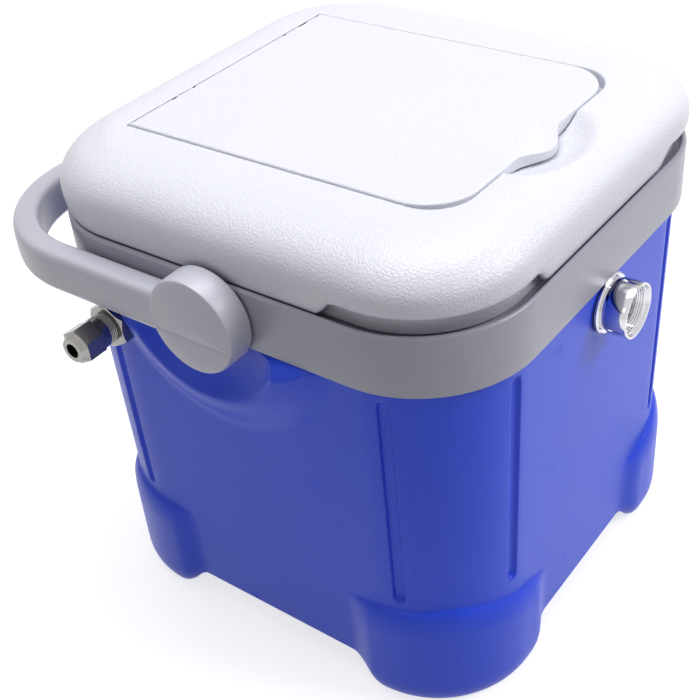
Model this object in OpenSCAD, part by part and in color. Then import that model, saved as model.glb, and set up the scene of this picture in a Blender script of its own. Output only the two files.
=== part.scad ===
// Jockey box: a small square hard cooler that chills drink on its way to a tap.
// Drink enters through a bulkhead fitting high on one side, runs through a steel coil
// that stands in ice, and leaves through a tap shank in the front wall.
// The front faces -Y, the inlet side -X, and the floor is at z = 0.

/* [Box] */
// Width of the box over its side walls, at the lower edge of the collar
box_w = 300; // [284:2:330]
// Depth of the box over its front and back walls, at the same height
box_d = 304; // [288:2:330]
// Height of the collar's lower edge above the floor
box_h = 249; // [225:1:275]
// Radius of the upright corners
corner_r = 66; // [56:1:74]
// How far each wall leans in between the collar and the floor
draft = 4; // [1:0.5:8]
// Wall of the outer shell
shell_t = 3; // [2:0.5:4]
// Foam between the shell and the liner, at the sides and below
foam_t = 18; // [14:1:22]
// Wall of the liner
liner_t = 2; // [1.5:0.5:3]
// Radius of the liner's upright corners
liner_r = 34; // [28:1:42]
// Height of the bottom panel above the floor
floor_gap = 19; // [12:1:24]
// Width of the upright grooves beside the corners
groove_w = 4.5; // [3:0.5:6]
// Depth of those grooves
groove_depth = 1.5; // [1:0.25:1.75]
// Distance of a groove from the outer face of the next wall
groove_inset = 50; // [44:1:56]

/* [Feet] */
// Length of a foot along each wall, at its top
foot_len = 78; // [66:1:90]
// Extra length of a foot at the floor
foot_flare = 18; // [8:1:24]
// Height of a foot where it meets the wall
foot_h = 76; // [64:1:92]
// Extra height of a foot at the corner
foot_rise = 11; // [4:1:20]
// How far a foot stands out of the wall
foot_out = 6; // [4:0.5:9]
// Height of the bevel round the bottom of a foot
foot_bevel = 8; // [4:1:12]

/* [Collar] */
// Height of the collar, lower edge to lip
collar_h = 38; // [30:1:46]
// How far the collar stands out of the wall
collar_out = 4.5; // [4:0.5:7]
// Wall of the collar
collar_t = 3; // [2:0.5:3.5]
// Depth of the ledge below the lip
ledge_drop = 5; // [3:0.5:8]

/* [Lid] */
// Height of the lid above its skirt's lower edge
lid_h = 37; // [32:1:44]
// Gap between the collar's lip and the skirt
lid_gap = 3; // [2:0.5:5]
// Wall of the lid's outer shell
lid_t = 2.5; // [2:0.25:3]
// Depth of the lid's plug in the mouth of the box
plug_depth = 18; // [12:1:24]
// Gap between the plug and the mouth
plug_gap = 1.5; // [1:0.25:2.5]
// Width of the crown's curve, from the widest line in to the flat top
crown = 47; // [38:1:54]
// Depth of the hollow in the lid's back edge
back_hollow = 8; // [4:1:10]
// Width of that hollow
back_hollow_w = 168; // [150:2:176]
// Distance of each lid hinge from the middle
hinge_x = 70; // [56:1:78]
// Diameter of the lid's hinge pins
pin_d = 5; // [4:0.5:6]
// Clearance of a turning shaft in its bore, on the radius
run_gap = 0.05; // [0.02:0.01:0.09]

/* [Hatch] */
// Width of the hatch
hatch_w = 188; // [176:1:196]
// Distance of the hatch's back edge behind the middle of the box
hatch_back = 114; // [106:1:116]
// Distance of the hatch's front edge before the middle of the box
hatch_front = 111; // [104:1:114]
// Thickness of the hatch
hatch_t = 8; // [7:0.5:10]
// Radius of the hatch's front corners
hatch_r = 31; // [22:1:40]
// Gap round the hatch
hatch_gap = 1; // [0.7:0.1:1.5]
// Width of the ledge that the hatch rests on
hatch_ledge = 14; // [11:1:20]
// Depth of the plug under the hatch
hatch_plug_depth = 16; // [10:1:20]
// Radius of the round finger dish before the hatch
dish_r = 49; // [44:1:54]
// Depth of the dish at its middle
dish_depth = 10; // [8:0.5:12]

/* [Handle] */
// Height of the handle's pivots above the collar's lower edge
hub_rise = 17; // [14:1:21]
// Distance of the pivots behind the middle of the box
hub_y = 5; // [0:0.5:8]
// Diameter of the hubs
hub_d = 59; // [52:1:66]
// Thickness of the hubs
hub_t = 18; // [16:0.5:22]
// Diameter of the pivot posts on the collar
post_d = 26; // [20:1:30]
// Reach of the handle from its pivots to the outside of the bar
handle_reach = 190; // [188:1:225]
// Thickness of the arms and bar
arm_t = 17; // [14:0.5:17.5]
// Height of the arms and bar
arm_h = 27; // [20:1:28]
// Outer radius of the handle's corners
handle_r = 80; // [60:1:90]

/* [Tap] */
// Distance of the tap shank from the middle, away from the inlet
tap_x = 10; // [-20:1:30]
// Depth of the tap shank below the collar's lower edge
tap_drop = 22; // [21:1:27]
// Diameter of the shank's thread
shank_d = 22; // [20:0.5:24]
// Bore of the shank
shank_bore = 6.4; // [5:0.1:8]
// Outside diameter of the coupling nut
coupling_d = 34.5; // [33:0.5:37]
// Length of the coupling nut
coupling_len = 14; // [13.5:0.1:18]
// Diameter of the nut's thread, at its crests
coupling_thread_d = 27.4; // [27:0.1:28]
// Diameter of the flange on the wall
flange_d = 38; // [36:0.5:44]

/* [Inlet] */
// Distance of the inlet behind the middle of the box
inlet_y = 94; // [90:1:96]
// Depth of the inlet below the collar's lower edge
inlet_drop = 23; // [22:1:31]
// Diameter of the fitting's thread
fitting_d = 19; // [18:0.5:21]
// Width of the locknut over its flats
locknut_af = 27; // [25:0.5:29]
// Width of the compression nuts over their flats
inlet_nut_af = 20.5; // [20:0.5:23]
// Length of the compression nuts
inlet_nut_len = 17; // [14:0.5:20]

/* [Coil] */
// Outside diameter of the steel tube
tube_d = 9.5; // [8:0.1:9.6]
// Radius of the coil, to the middle of the tube
coil_r = 85; // [78:1:88]
// Least gap between two turns of the coil
turn_gap = 1.2; // [0.8:0.1:6]
// Outside diameter of the drink hose
hose_d = 14; // [13:0.5:15]

/* [Hidden] */
$fn = 48;

half_w = box_w / 2;
half_d = box_d / 2;
// Clearance between pieces that only lie beside each other.
fit_gap = 0.2;
cut = 1;
far = box_w + box_d;

collar_w = half_w + collar_out;
collar_d = half_d + collar_out;
collar_r = corner_r + collar_out;
lip_z = box_h + collar_h;
ledge_z = lip_z - ledge_drop;
body_top = ledge_z - collar_t;
wall_t = shell_t + foam_t + liner_t;
hub_z = box_h + hub_rise;
tap_z = box_h - tap_drop;
inlet_z = box_h - inlet_drop;
mouth_w = half_w - wall_t;
mouth_d = half_d - wall_t;
mouth_r = liner_r;
liner_floor = floor_gap + shell_t + foam_t + liner_t;
// The walls are welded to the base pan, which carries the feet, at this height.
weld_z = floor_gap + shell_t;
foam_low = liner_floor - liner_t;

lid_z = lip_z + lid_gap;
lid_top = lid_z + lid_h;
lid_in = 1;
widest_z = lid_z + lid_h / 3;
skirt_tuck = 3.5;
grip_h = 7;
grip_from = 69;
tray_z = ledge_z + 1;
tray_top = lid_z + grip_h + 2;
tray_in = 11;
// The tray's back edge stays clear of the knuckles on the cover.
knuckle_in = collar_d - lid_in - skirt_tuck - back_hollow - 1;
tray_back = knuckle_in - fit_gap;
flange_in = lid_in + lid_t + 1;
plug_z = ledge_z - plug_depth;
knuckle_r = pin_d / 2 + 2.5;
hinge_y = collar_d + 4;
hinge_z = lip_z + knuckle_r;
knuckle_len = 20;
lug_len = 8;
knuckle_gap = 0.4;

hatch_top = lid_top + 0.5;
hatch_axis_y = hatch_back - hatch_t / 2;
hatch_axis_z = hatch_top - hatch_t / 2;
pocket_z = hatch_top - hatch_t - 0.5;
throat_z = pocket_z - lid_t;
hatch_pin_r = 1.5;

hub_x = collar_w + 1.5;
swell_y = hub_y + 4;
hub_swell_r = 82;
hub_ridge_r = 58;
hub_swell = 10;
hub_ledge_slope = 57;
hub_face = hub_x + hub_t;
post_len = hub_t - 5;
arm_x = hub_x + arm_t / 2;

tap_y = half_d - lean(tap_z);
inlet_x = half_w - lean(inlet_z);
washer_t = 1;
flange_t = 2.5;
groove_t = 2.5;
nut_lip = 3;
flange_back = washer_t + flange_t;
nut_back = flange_back + groove_t;
nut_front = nut_back + coupling_len;
nut_pocket = nut_back + nut_lip;
shank_front = nut_front - 8.2;
shank_tail = 20;
shank_back = -wall_t - shank_tail;
shank_nut_af = 1.45 * shank_d;
tail_nut_af = 1.27 * shank_d;
thread_r = shank_d / 2;
seat_r = coupling_thread_d / 2 + 0.3;
shank_hole = thread_r + 0.5;
fitting_r = fitting_d / 2;
fitting_hole = fitting_r + 0.5;
locknut_t = 8;
neck_t = 6;
shoulder_t = 5;
// The walls curve away under the inlet's seals, which are thicker by as much.
outer_sag = sag(corner_r, inlet_y + locknut_af / 2 - (half_d - corner_r));
inner_sag = sag(liner_r, inlet_y + locknut_af / 2 - (mouth_d - liner_r));
shoulder_z = washer_t + locknut_t + neck_t;
inner_seat = -wall_t - washer_t - inner_sag;
inner_hex_t = 6;
cone_t = 6;
stub_r = 7.5;
tail_len = 32;
barb_r = tube_d / 2 - 0.1;
barb_back = shank_back - tail_len;
tail_head_t = 2;
inlet_end = shoulder_z + shoulder_t + inlet_nut_len;
tube_r = tube_d / 2;
tube_hole = tube_r + run_gap;

// The row's origin is the middle of the whole model's footprint.
shift_x = (inlet_x + inlet_end - hub_face) / 2;
shift_y = (tap_y + nut_front - hub_y - handle_reach) / 2;

// How far a curve of radius r falls away at a distance along its tangent.
function sag(r, along) = r - sqrt(r * r - max(along, 0) * max(along, 0));

// How far the wall leans in at height z, rounded so that flats and corners meet exactly.
function lean(z) = round(1000 * draft * (box_h - z) / box_h) / 1000;

module place() {
  translate([shift_x, shift_y, 0]) children();
}

// Local +Z runs out of the front wall at the tap, from the wall's face.
module at_tap() {
  place() translate([tap_x, -tap_y, tap_z]) rotate([90, 0, 0]) children();
}

// Local +Z runs out of the side wall at the inlet.
module at_inlet() {
  place() translate([-inlet_x, inlet_y, inlet_z]) rotate([0, -90, 0]) children();
}

module round_rect(w, d, r) {
  square([2 * (w - r), 2 * d], center = true);
  square([2 * w, 2 * (d - r)], center = true);
  for (x = [-1, 1], y = [-1, 1])
    translate([x * (w - r), y * (d - r)]) circle(r);
}

module slab(w, d, r, z0, z1) {
  translate([0, 0, z0]) linear_extrude(z1 - z0) round_rect(w, d, r);
}

// A box with the walls' lean, drawn in by inset on every side, with its own corners.
module leaning_box(inset, z0, z1, r) {
  for (x = [-1, 1], y = [-1, 1])
    translate([x * (half_w - inset - r), y * (half_d - inset - r), z0])
      cylinder(r1 = r - lean(z0), r2 = r - lean(z1), h = z1 - z0);
  leaning_slab(half_w - inset, half_d - inset - r, z0, z1);
  rotate([0, 0, 90]) leaning_slab(half_d - inset, half_w - inset - r, z0, z1);
}

// A slab along Y with both of its long sides leaning in towards the floor.
module leaning_slab(half, along, z0, z1) {
  rotate([90, 0, 0]) translate([0, 0, -along]) linear_extrude(2 * along) polygon([
    [half - lean(z1), z1], [-half + lean(z1), z1], [-half + lean(z0), z0], [half - lean(z0), z0]
  ]);
}

// A ring or disc, from z0 to z1.
module ring(r_out, r_in, z0, z1) {
  translate([0, 0, z0]) difference() {
    cylinder(r = r_out, h = z1 - z0);
    translate([0, 0, -cut]) cylinder(r = r_in, h = z1 - z0 + 2 * cut);
  }
}

// A six-sided nut with chamfered corners on its outer end.
module hex_nut(af, r_in, z0, z1) {
  difference() {
    intersection() {
      translate([0, 0, z0]) cylinder(d = af / cos(30), h = z1 - z0, $fn = 6);
      translate([0, 0, z0 - 2 * cut])
        cylinder(r1 = af, r2 = af / 2 - 0.3, h = z1 - z0 + 2 * cut);
    }
    translate([0, 0, z0 - cut]) cylinder(r = r_in, h = z1 - z0 + 2 * cut);
  }
}

/* Box */

// One corner foot in four, with its sides flared and its top rising to the corner.
module feet(inset) {
  w = half_w - draft + foot_out;
  d = half_d - draft + foot_out;
  climb = foot_rise / (foot_len - 0.6 * corner_r);
  bevel = foot_bevel / 2;
  difference() {
    union() {
      translate([0, 0, inset])
        linear_extrude(foot_bevel - inset, slices = 1,
            scale = [(w - inset) / (w - bevel - inset), (d - inset) / (d - bevel - inset)])
          round_rect(w - bevel - inset, d - bevel - inset, corner_r - inset);
      slab(w - inset, d - inset, corner_r - inset, foot_bevel, foot_h + 2 * foot_rise);
    }
    rotate([90, 0, 0]) foot_space(w, inset);
    rotate([90, 0, 90]) foot_space(d, inset);
    for (x = [0, 1], y = [0, 1]) mirror([x, 0, 0]) mirror([0, y, 0])
      translate([w, d - foot_len, foot_h - inset])
        rotate([0, 0, 45]) rotate([0, -atan(climb * sqrt(2)), 0])
          translate([-foot_len, -far, 0]) cube([foot_len + far, 2 * far, far]);
  }
}

// The open space between two feet, through the whole box.
module foot_space(half, inset) {
  top = half - foot_len + inset;
  bottom = top - foot_flare;
  translate([0, 0, -far]) linear_extrude(2 * far) polygon([
    [-bottom, -cut], [bottom, -cut], [top, foot_h], [top, 2 * foot_h],
    [-top, 2 * foot_h], [-top, foot_h]
  ]);
}

// The swelling of the side wall below each hub, with a dished seat for the hub.
module hub_swellings() {
  for (side = [0, 1]) mirror([side, 0, 0]) difference() {
    translate([half_w - draft, swell_y, hub_z]) rotate([0, 90, 0])
      cylinder(r1 = hub_swell_r, r2 = hub_ridge_r + 2, h = draft + hub_swell);
    translate([half_w, swell_y, hub_z]) rotate([0, 90, 0])
      cylinder(r1 = hub_d / 2 + swell_y + 4, r2 = hub_ridge_r, h = hub_swell + cut / 4);
    translate([collar_w, 0, box_h]) rotate([0, hub_ledge_slope, 0])
      translate([-far, -far, 0]) cube([2 * far, 2 * far, far]);
    translate([0, -far, box_h]) cube([far, 2 * far, far]);
    translate([0, -far, 0]) cube([half_w - draft, 2 * far, far]);
  }
}

// A groove stands where the wall starts to curve, and is cut square to the curve.
module grooves() {
  lean_angle = atan(draft / box_h);
  around = asin((corner_r - groove_inset) / corner_r);
  z0 = foot_h + foot_rise - 4;
  z1 = box_h - 8;
  for (turn = [0 : 3]) {
    face = turn % 2 == 0 ? half_d : half_w;
    across = turn % 2 == 0 ? half_w : half_d;
    for (side = [-1, 1]) rotate([0, 0, 90 * turn])
      translate([side * (across - corner_r), corner_r - face, box_h]) rotate([-lean_angle, 0, 0])
        rotate([0, 0, side * around]) rotate([90, 0, 0])
          translate([0, z0 - box_h, corner_r - groove_depth]) linear_extrude(corner_r) {
            translate([-groove_w / 2, 0]) square([groove_w, z1 - z0]);
            circle(d = groove_w);
            translate([0, z1 - z0]) circle(d = groove_w);
          }
  }
}

module outer_shell() {
  color("royalblue") difference() {
    place() difference() {
      union() {
        leaning_box(0, weld_z, body_top, corner_r);
        feet(0);
        hub_swellings();
      }
      leaning_box(shell_t, weld_z - cut, body_top + cut, corner_r - shell_t);
      feet(shell_t);
      grooves();
      slab(far, far, corner_r, -cut, weld_z);
    }
    at_tap() translate([0, 0, -far / 4]) cylinder(r = shank_hole, h = far / 2);
    at_inlet() translate([0, 0, -far / 8]) cylinder(r = fitting_hole, h = far / 4);
  }
}

module base_pan() {
  color("royalblue") place() difference() {
    union() {
      leaning_box(0, floor_gap, weld_z + cut, corner_r);
      feet(0);
    }
    feet(shell_t);
    slab(far, far, corner_r, weld_z - fit_gap, far);
  }
}

module floor_foam() {
  color("khaki") place() difference() {
    union() {
      leaning_box(shell_t + fit_gap, weld_z + fit_gap, foam_low + cut, corner_r - shell_t - fit_gap);
      feet(shell_t + fit_gap);
    }
    slab(far, far, corner_r, foam_low - fit_gap, far);
  }
}

module body_foam() {
  color("khaki") difference() {
    place() difference() {
      union() {
        leaning_box(shell_t + fit_gap, foam_low, body_top - liner_t - fit_gap,
          corner_r - shell_t - fit_gap);
        feet(shell_t + fit_gap);
      }
      leaning_box(shell_t + foam_t - fit_gap, foam_low - cut, body_top + cut,
        liner_r + liner_t + fit_gap);
      slab(far, far, corner_r, -cut, foam_low);
    }
    at_tap() translate([0, 0, -far / 4]) cylinder(r = shank_hole, h = far / 2);
    at_inlet() translate([0, 0, -far / 8]) cylinder(r = fitting_hole, h = far / 4);
  }
}

module liner_inside() {
  leaning_box(wall_t, liner_floor, body_top + cut, liner_r);
}

module inner_liner() {
  color("whitesmoke") difference() {
    place() difference() {
      union() {
        leaning_box(shell_t + foam_t, liner_floor - liner_t, body_top, liner_r + liner_t);
        slab(half_w - shell_t - 1, half_d - shell_t - 1, corner_r - shell_t - 1,
          body_top - liner_t, body_top);
      }
      liner_inside();
    }
    at_tap() translate([0, 0, -far / 4]) cylinder(r = shank_hole, h = far / 2);
    at_inlet() translate([0, 0, -far / 8]) cylinder(r = fitting_hole, h = far / 4);
  }
}

// The collar caps the wall, carries the handle's posts and the lid's hinge lugs.
module rim_collar() {
  inner_w = collar_w - collar_t;
  inner_d = collar_d - collar_t;
  color("lightgray") place() difference() {
    union() {
      difference() {
        slab(collar_w, collar_d, collar_r, box_h, lip_z);
        slab(inner_w, inner_d, collar_r - collar_t, box_h - cut, ledge_z - collar_t);
        slab(inner_w, inner_d, collar_r - collar_t, ledge_z, lip_z + cut);
        slab(mouth_w, mouth_d, mouth_r, box_h, lip_z);
      }
      for (side = [0, 1]) mirror([side, 0, 0]) translate([inner_w + cut, hub_y, hub_z])
        rotate([0, 90, 0]) cylinder(d = post_d, h = hub_x + post_len - inner_w - cut);
      for (side = [-1, 1], end = [-1, 1])
        translate([side * hinge_x + end * (knuckle_len / 2 + knuckle_gap + lug_len / 2), 0, 0])
          hinge_lug();
    }
    for (side = [-1, 1]) translate([side * hinge_x, hinge_y, hinge_z]) hinge_bore();
  }
}

module hinge_lug() {
  translate([-lug_len / 2, 0, 0]) {
    translate([0, hinge_y, hinge_z]) rotate([0, 90, 0]) cylinder(r = knuckle_r, h = lug_len);
    translate([0, collar_d - cut, hinge_z - 3 * knuckle_r])
      cube([lug_len, hinge_y + knuckle_r - collar_d + cut, 3 * knuckle_r]);
  }
}

module hinge_bore() {
  translate([-far / 8, 0, 0]) rotate([0, 90, 0])
    cylinder(r = pin_d / 2 + run_gap, h = far / 4);
}

module lid_hinge_pins() {
  pin_len = knuckle_len + 2 * (knuckle_gap + lug_len);
  color("silver") place() for (side = [-1, 1])
    translate([side * hinge_x - pin_len / 2, hinge_y, hinge_z]) rotate([0, 90, 0])
      cylinder(d = pin_d, h = pin_len);
}

/* Lid */

// The pillow shape of the lid: a full quarter ellipse up to the crown, and a tucked-in skirt.
module pillow(inset) {
  full = 0.84;
  w = collar_w - lid_in - inset;
  d = collar_d - lid_in - inset;
  r = corner_r - inset;
  up = lid_top - widest_z - inset;
  down = widest_z - lid_z;
  slice = 0.01;
  hull() for (a = [-90 : 15 : 90]) {
    in = a > 0 ? crown * (1 - pow(cos(a), full)) : skirt_tuck * (1 - cos(a));
    z = widest_z + (a > 0 ? up * pow(sin(a), full) : down * sin(a));
    slab(w - in, d - in, max(r - 0.6 * in, 20), z - slice, z);
  }
}

module hatch_outline(grow) {
  w = hatch_w / 2 + grow;
  back = hatch_back + grow;
  front = hatch_front + grow;
  translate([-w, -front + hatch_r]) square([2 * w, front + back - hatch_r]);
  translate([-w + hatch_r, -front]) square([2 * (w - hatch_r), front + back]);
  for (x = [-1, 1]) translate([x * (w - hatch_r), -front + hatch_r]) circle(hatch_r);
}

// The opening under the hatch, grown by the given amount.
module throat(grow, z0, z1) {
  w = hatch_w / 2 - hatch_ledge + grow;
  front = hatch_front - hatch_ledge + grow;
  back = hatch_back - hatch_ledge - hatch_t + grow;
  middle = (back - front) / 2;
  translate([0, middle, 0]) slab(w, (front + back) / 2, hatch_r - 10 + grow, z0, z1);
}

module dish_ball(grow) {
  ball_r = (dish_r * dish_r + dish_depth * dish_depth) / (2 * dish_depth);
  translate([0, -hatch_front + dish_r / 2, lid_top - dish_depth + ball_r])
    sphere(r = ball_r + grow, $fn = 96);
}

// What the pocket for the hatch, the dish and the hollow back take out of the lid.
module lid_cuts(grow) {
  hollow_r = (back_hollow_w * back_hollow_w / 4 + back_hollow * back_hollow) / (2 * back_hollow);
  translate([0, 0, pocket_z - grow]) linear_extrude(lid_h) hatch_outline(hatch_gap + grow);
  dish_ball(grow);
  translate([0, collar_d - lid_in - back_hollow + hollow_r - grow, lid_z - cut])
    cylinder(r = hollow_r, h = lid_h + 2 * cut, $fn = 96);
}

// The space inside the lid's cover.
module lid_space(inset) {
  difference() {
    pillow(inset);
    lid_cuts(inset);
  }
}

// The open space inside the skirt, which the tray's band fills.
module skirt_inside(inset) {
  in = lid_in + skirt_tuck + inset;
  back = back_hollow / 2;
  translate([0, -back, 0])
    slab(collar_w - in, collar_d - in - back, corner_r - in, lid_z - cut, widest_z);
}

module lid_cover() {
  color("gainsboro") place() difference() {
    union() {
      difference() {
        pillow(0);
        lid_space(lid_t);
        skirt_inside(lid_t);
        lid_cuts(0);
        throat(0, lid_z, lid_top);
        lid_grips();
      }
      for (side = [-1, 1]) translate([side * hinge_x - knuckle_len / 2, 0, 0]) lid_knuckle();
    }
    for (side = [-1, 1]) translate([side * hinge_x, hinge_y, hinge_z]) hinge_bore();
    hatch_bores(0);
  }
}

// The skirt is raised round both front corners, so that fingers can lift the lid.
module lid_grips() {
  for (side = [0, 1]) mirror([side, 0, 0])
    translate([grip_from, -far, lid_z - cut]) cube([far, far - grip_from, grip_h + cut]);
}

module lid_knuckle() {
  translate([0, hinge_y, hinge_z]) rotate([0, 90, 0]) cylinder(r = knuckle_r, h = knuckle_len);
  translate([0, knuckle_in, lid_z])
    cube([knuckle_len, hinge_y - knuckle_in, hinge_z + knuckle_r - lid_z]);
}

// Bores for the hatch's two pins.
module hatch_bores(grow) {
  reach = hatch_w / 2 + hatch_gap + lid_t + grow;
  translate([-reach, hatch_axis_y, hatch_axis_z]) rotate([0, 90, 0])
    cylinder(r = hatch_pin_r + grow, h = 2 * reach);
}

// A slab in the lid, whose back edge is drawn in further than its other sides.
module lid_slab(in, r, z0, z1, back = tray_back) {
  front = collar_d - in;
  translate([0, (back - front) / 2, 0]) slab(collar_w - in, (back + front) / 2, r, z0, z1);
}

module lid_tray_outside() {
  lid_slab(tray_in, collar_r - tray_in, tray_z, tray_top);
  lid_slab(flange_in, corner_r - flange_in, tray_top - lid_t, tray_top);
  slab(mouth_w - plug_gap, mouth_d - plug_gap, mouth_r - plug_gap, plug_z, tray_z + cut);
}

module lid_tray_inside(inset) {
  lid_slab(tray_in + inset, collar_r - tray_in - inset, tray_z + inset, tray_top + cut, tray_back - inset);
  slab(mouth_w - plug_gap - inset, mouth_d - plug_gap - inset, mouth_r - plug_gap - inset,
    plug_z + inset, tray_z + inset + cut);
}

module lid_tray() {
  color("whitesmoke") place() difference() {
    union() {
      difference() {
        lid_tray_outside();
        lid_tray_inside(lid_t);
      }
      throat(lid_t, plug_z, throat_z);
    }
    throat(0, plug_z - cut, lid_top);
    dish_ball(lid_t + fit_gap);
  }
}

module lid_foam() {
  knuckle_space = knuckle_len + 2;
  color("khaki") place() difference() {
    union() {
      intersection() {
        lid_space(lid_t + fit_gap);
        slab(far, far, corner_r, tray_top + fit_gap, lid_top);
      }
      lid_tray_inside(lid_t + fit_gap);
    }
    throat(lid_t + fit_gap, plug_z - cut, lid_top);
    for (side = [-1, 1]) translate([side * hinge_x - knuckle_space / 2, knuckle_in - 1, lid_z])
      cube([knuckle_space, far, hinge_z + knuckle_r + 1 - lid_z]);
    hatch_bores(1);
  }
}

/* Hatch */

module hatch_cover() {
  color("gainsboro") place() difference() {
    union() {
      translate([0, 0, hatch_top - hatch_t]) linear_extrude(hatch_t) difference() {
        hatch_outline(0);
        translate([-far / 2, hatch_axis_y]) square([far, far]);
      }
      translate([-hatch_w / 2, hatch_axis_y, hatch_axis_z]) rotate([0, 90, 0])
        cylinder(d = hatch_t, h = hatch_w);
    }
    hatch_core(0, hatch_top - hatch_t - cut);
    hatch_bores(run_gap);
  }
}

// The hollow under the hatch's skin, which the plug fills.
module hatch_core(gap, z0) {
  skin = 2.5;
  rim = 3;
  translate([0, 0, z0]) linear_extrude(hatch_top - skin - gap - z0) difference() {
    hatch_outline(-rim - gap);
    translate([-far / 2, hatch_axis_y - hatch_t + 1 - gap]) square([far, far]);
  }
}

module hatch_plug() {
  color("whitesmoke") place() {
    hatch_core(fit_gap, hatch_top - hatch_t);
    throat(-plug_gap, hatch_top - hatch_t - hatch_plug_depth, hatch_top - hatch_t);
  }
}

module hatch_hinge_pins() {
  pin_in = 8;
  color("silver") place() for (side = [0, 1]) mirror([side, 0, 0])
    translate([hatch_w / 2 - pin_in, hatch_axis_y, hatch_axis_z]) rotate([0, 90, 0])
      cylinder(r = hatch_pin_r, h = pin_in + hatch_gap + lid_t);
}

/* Handle */

module arm_section() {
  round_rect(arm_t / 2, arm_h / 2, 6);
}

module carry_handle() {
  bend = handle_r - arm_t / 2;
  bar_y = handle_reach - arm_t / 2;
  color("lightgray") place() translate([0, hub_y, hub_z]) {
    for (side = [0, 1]) mirror([side, 0, 0]) {
      difference() {
        union() {
          hub();
          translate([arm_x, hub_d / 2 - 3, 0]) rotate([-90, 0, 0])
            linear_extrude(bar_y - bend - hub_d / 2 + 3) arm_section();
        }
        hub_hollow();
      }
      translate([arm_x - bend, bar_y - bend, 0]) rotate_extrude(angle = 90)
        translate([bend, 0]) arm_section();
    }
    translate([bend - arm_x, bar_y, 0]) rotate([90, 0, 90])
      linear_extrude(2 * (arm_x - bend)) arm_section();
  }
}

module hub() {
  r = hub_d / 2;
  edge = 2;
  translate([hub_x, 0, 0]) rotate([0, 90, 0]) rotate_extrude() polygon([
    [0, 0], [r, 0], [r, hub_t - edge], [r - edge, hub_t], [0, hub_t]
  ]);
}

// The hub is a drum with a socket for the collar's post, a notch and a small window.
module hub_hollow() {
  wall = 3;
  translate([hub_x, 0, 0]) {
    rotate([0, 90, 0]) {
      translate([0, 0, -cut]) cylinder(r = post_d / 2 + run_gap, h = post_len + cut);
      ring(hub_d / 2 - wall, post_d / 2 + wall, -cut, hub_t - wall);
    }
    translate([-cut, -2, hub_d / 2 - wall - cut]) cube([3 + cut, 16, wall + 2 * cut]);
    rotate([215, 0, 0]) translate([2, -4, hub_d / 2 - wall - cut]) cube([4, 8, wall + 2 * cut]);
  }
}

/* Tap shank, through the front wall */

module tap_shank() {
  teeth = 12;
  notch = 3;
  notch_t = 1.5;
  color("silver") at_tap() difference() {
    union() {
      translate([0, 0, shank_back]) cylinder(r = thread_r, h = shank_front - shank_back);
      translate([0, 0, nut_pocket + 0.1]) cylinder(r = seat_r - 0.1, h = shank_front - nut_pocket - 0.1);
    }
    translate([0, 0, shank_back - cut]) cylinder(d = shank_bore, h = 2 * wall_t + far / 4);
    translate([0, 0, shank_front - 2 * notch]) cylinder(r = thread_r - 2, h = 2 * notch + cut);
    for (i = [0 : teeth - 1]) rotate([0, 0, 360 * i / teeth])
      translate([thread_r - notch, -0.4 * notch, shank_front - notch_t])
        cube([notch, 0.8 * notch, notch_t + cut]);
  }
}

module shank_flange() {
  color("silver") at_tap() {
    ring(flange_d / 2, thread_r + run_gap, washer_t, flange_back);
    ring(coupling_d / 2 - 1, thread_r + run_gap, flange_back, nut_back);
  }
}

// Everything outside the inner face of the liner.
module outside_liner() {
  place() difference() {
    slab(far, far, corner_r, 0, far);
    liner_inside();
  }
}

// A washer on the leaning wall: its wall side follows the lean.
module shank_outer_washer() {
  color("black") difference() {
    at_tap() ring(flange_d / 2 - 0.5, thread_r + run_gap, -washer_t, washer_t);
    place() leaning_box(0, floor_gap, body_top, corner_r);
  }
}

module shank_inner_washer() {
  color("black") difference() {
    at_tap() ring(thread_r + 6, thread_r + run_gap, -wall_t - washer_t, -wall_t + washer_t);
    outside_liner();
  }
}

module shank_locknut() {
  color("silver") at_tap() mirror([0, 0, 1])
    hex_nut(shank_nut_af, thread_r + run_gap, wall_t + washer_t, wall_t + washer_t + locknut_t);
}

module coupling_nut() {
  r = coupling_d / 2;
  edge = 0.8;
  holes = 6;
  hole_d = 3;
  color("silver") at_tap() difference() {
    rotate_extrude() polygon([
      [thread_r + run_gap, nut_back + fit_gap], [r - edge, nut_back + fit_gap],
      [r, nut_back + fit_gap + edge], [r, nut_front - edge], [r - edge, nut_front],
      [coupling_thread_d / 2, nut_front], [coupling_thread_d / 2, shank_front],
      [seat_r, shank_front], [seat_r, nut_pocket], [thread_r + run_gap, nut_pocket]
    ]);
    for (i = [0 : holes - 1]) rotate([0, 0, 360 * i / holes])
      translate([r - hole_d / 2, 0, nut_back + 5]) rotate([0, 90, 0]) cylinder(d = hole_d, h = hole_d);
  }
}

module tail_piece() {
  color("silver") at_tap() difference() {
    union() {
      translate([0, 0, shank_back - tail_head_t]) cylinder(r = thread_r - 2, h = tail_head_t);
      translate([0, 0, barb_back]) cylinder(r = barb_r, h = tail_len);
    }
    translate([0, 0, barb_back - cut]) cylinder(d = shank_bore, h = tail_len + 2 * cut);
  }
}

module tail_nut() {
  grip = 5;
  color("silver") at_tap() difference() {
    mirror([0, 0, 1])
      hex_nut(tail_nut_af, barb_r + 1, -shank_back - grip, 2 * grip - shank_back - cut);
    translate([0, 0, shank_back - tail_head_t - run_gap]) cylinder(r = thread_r + run_gap, h = far);
  }
}

/* Inlet fitting, through the side wall */

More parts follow.
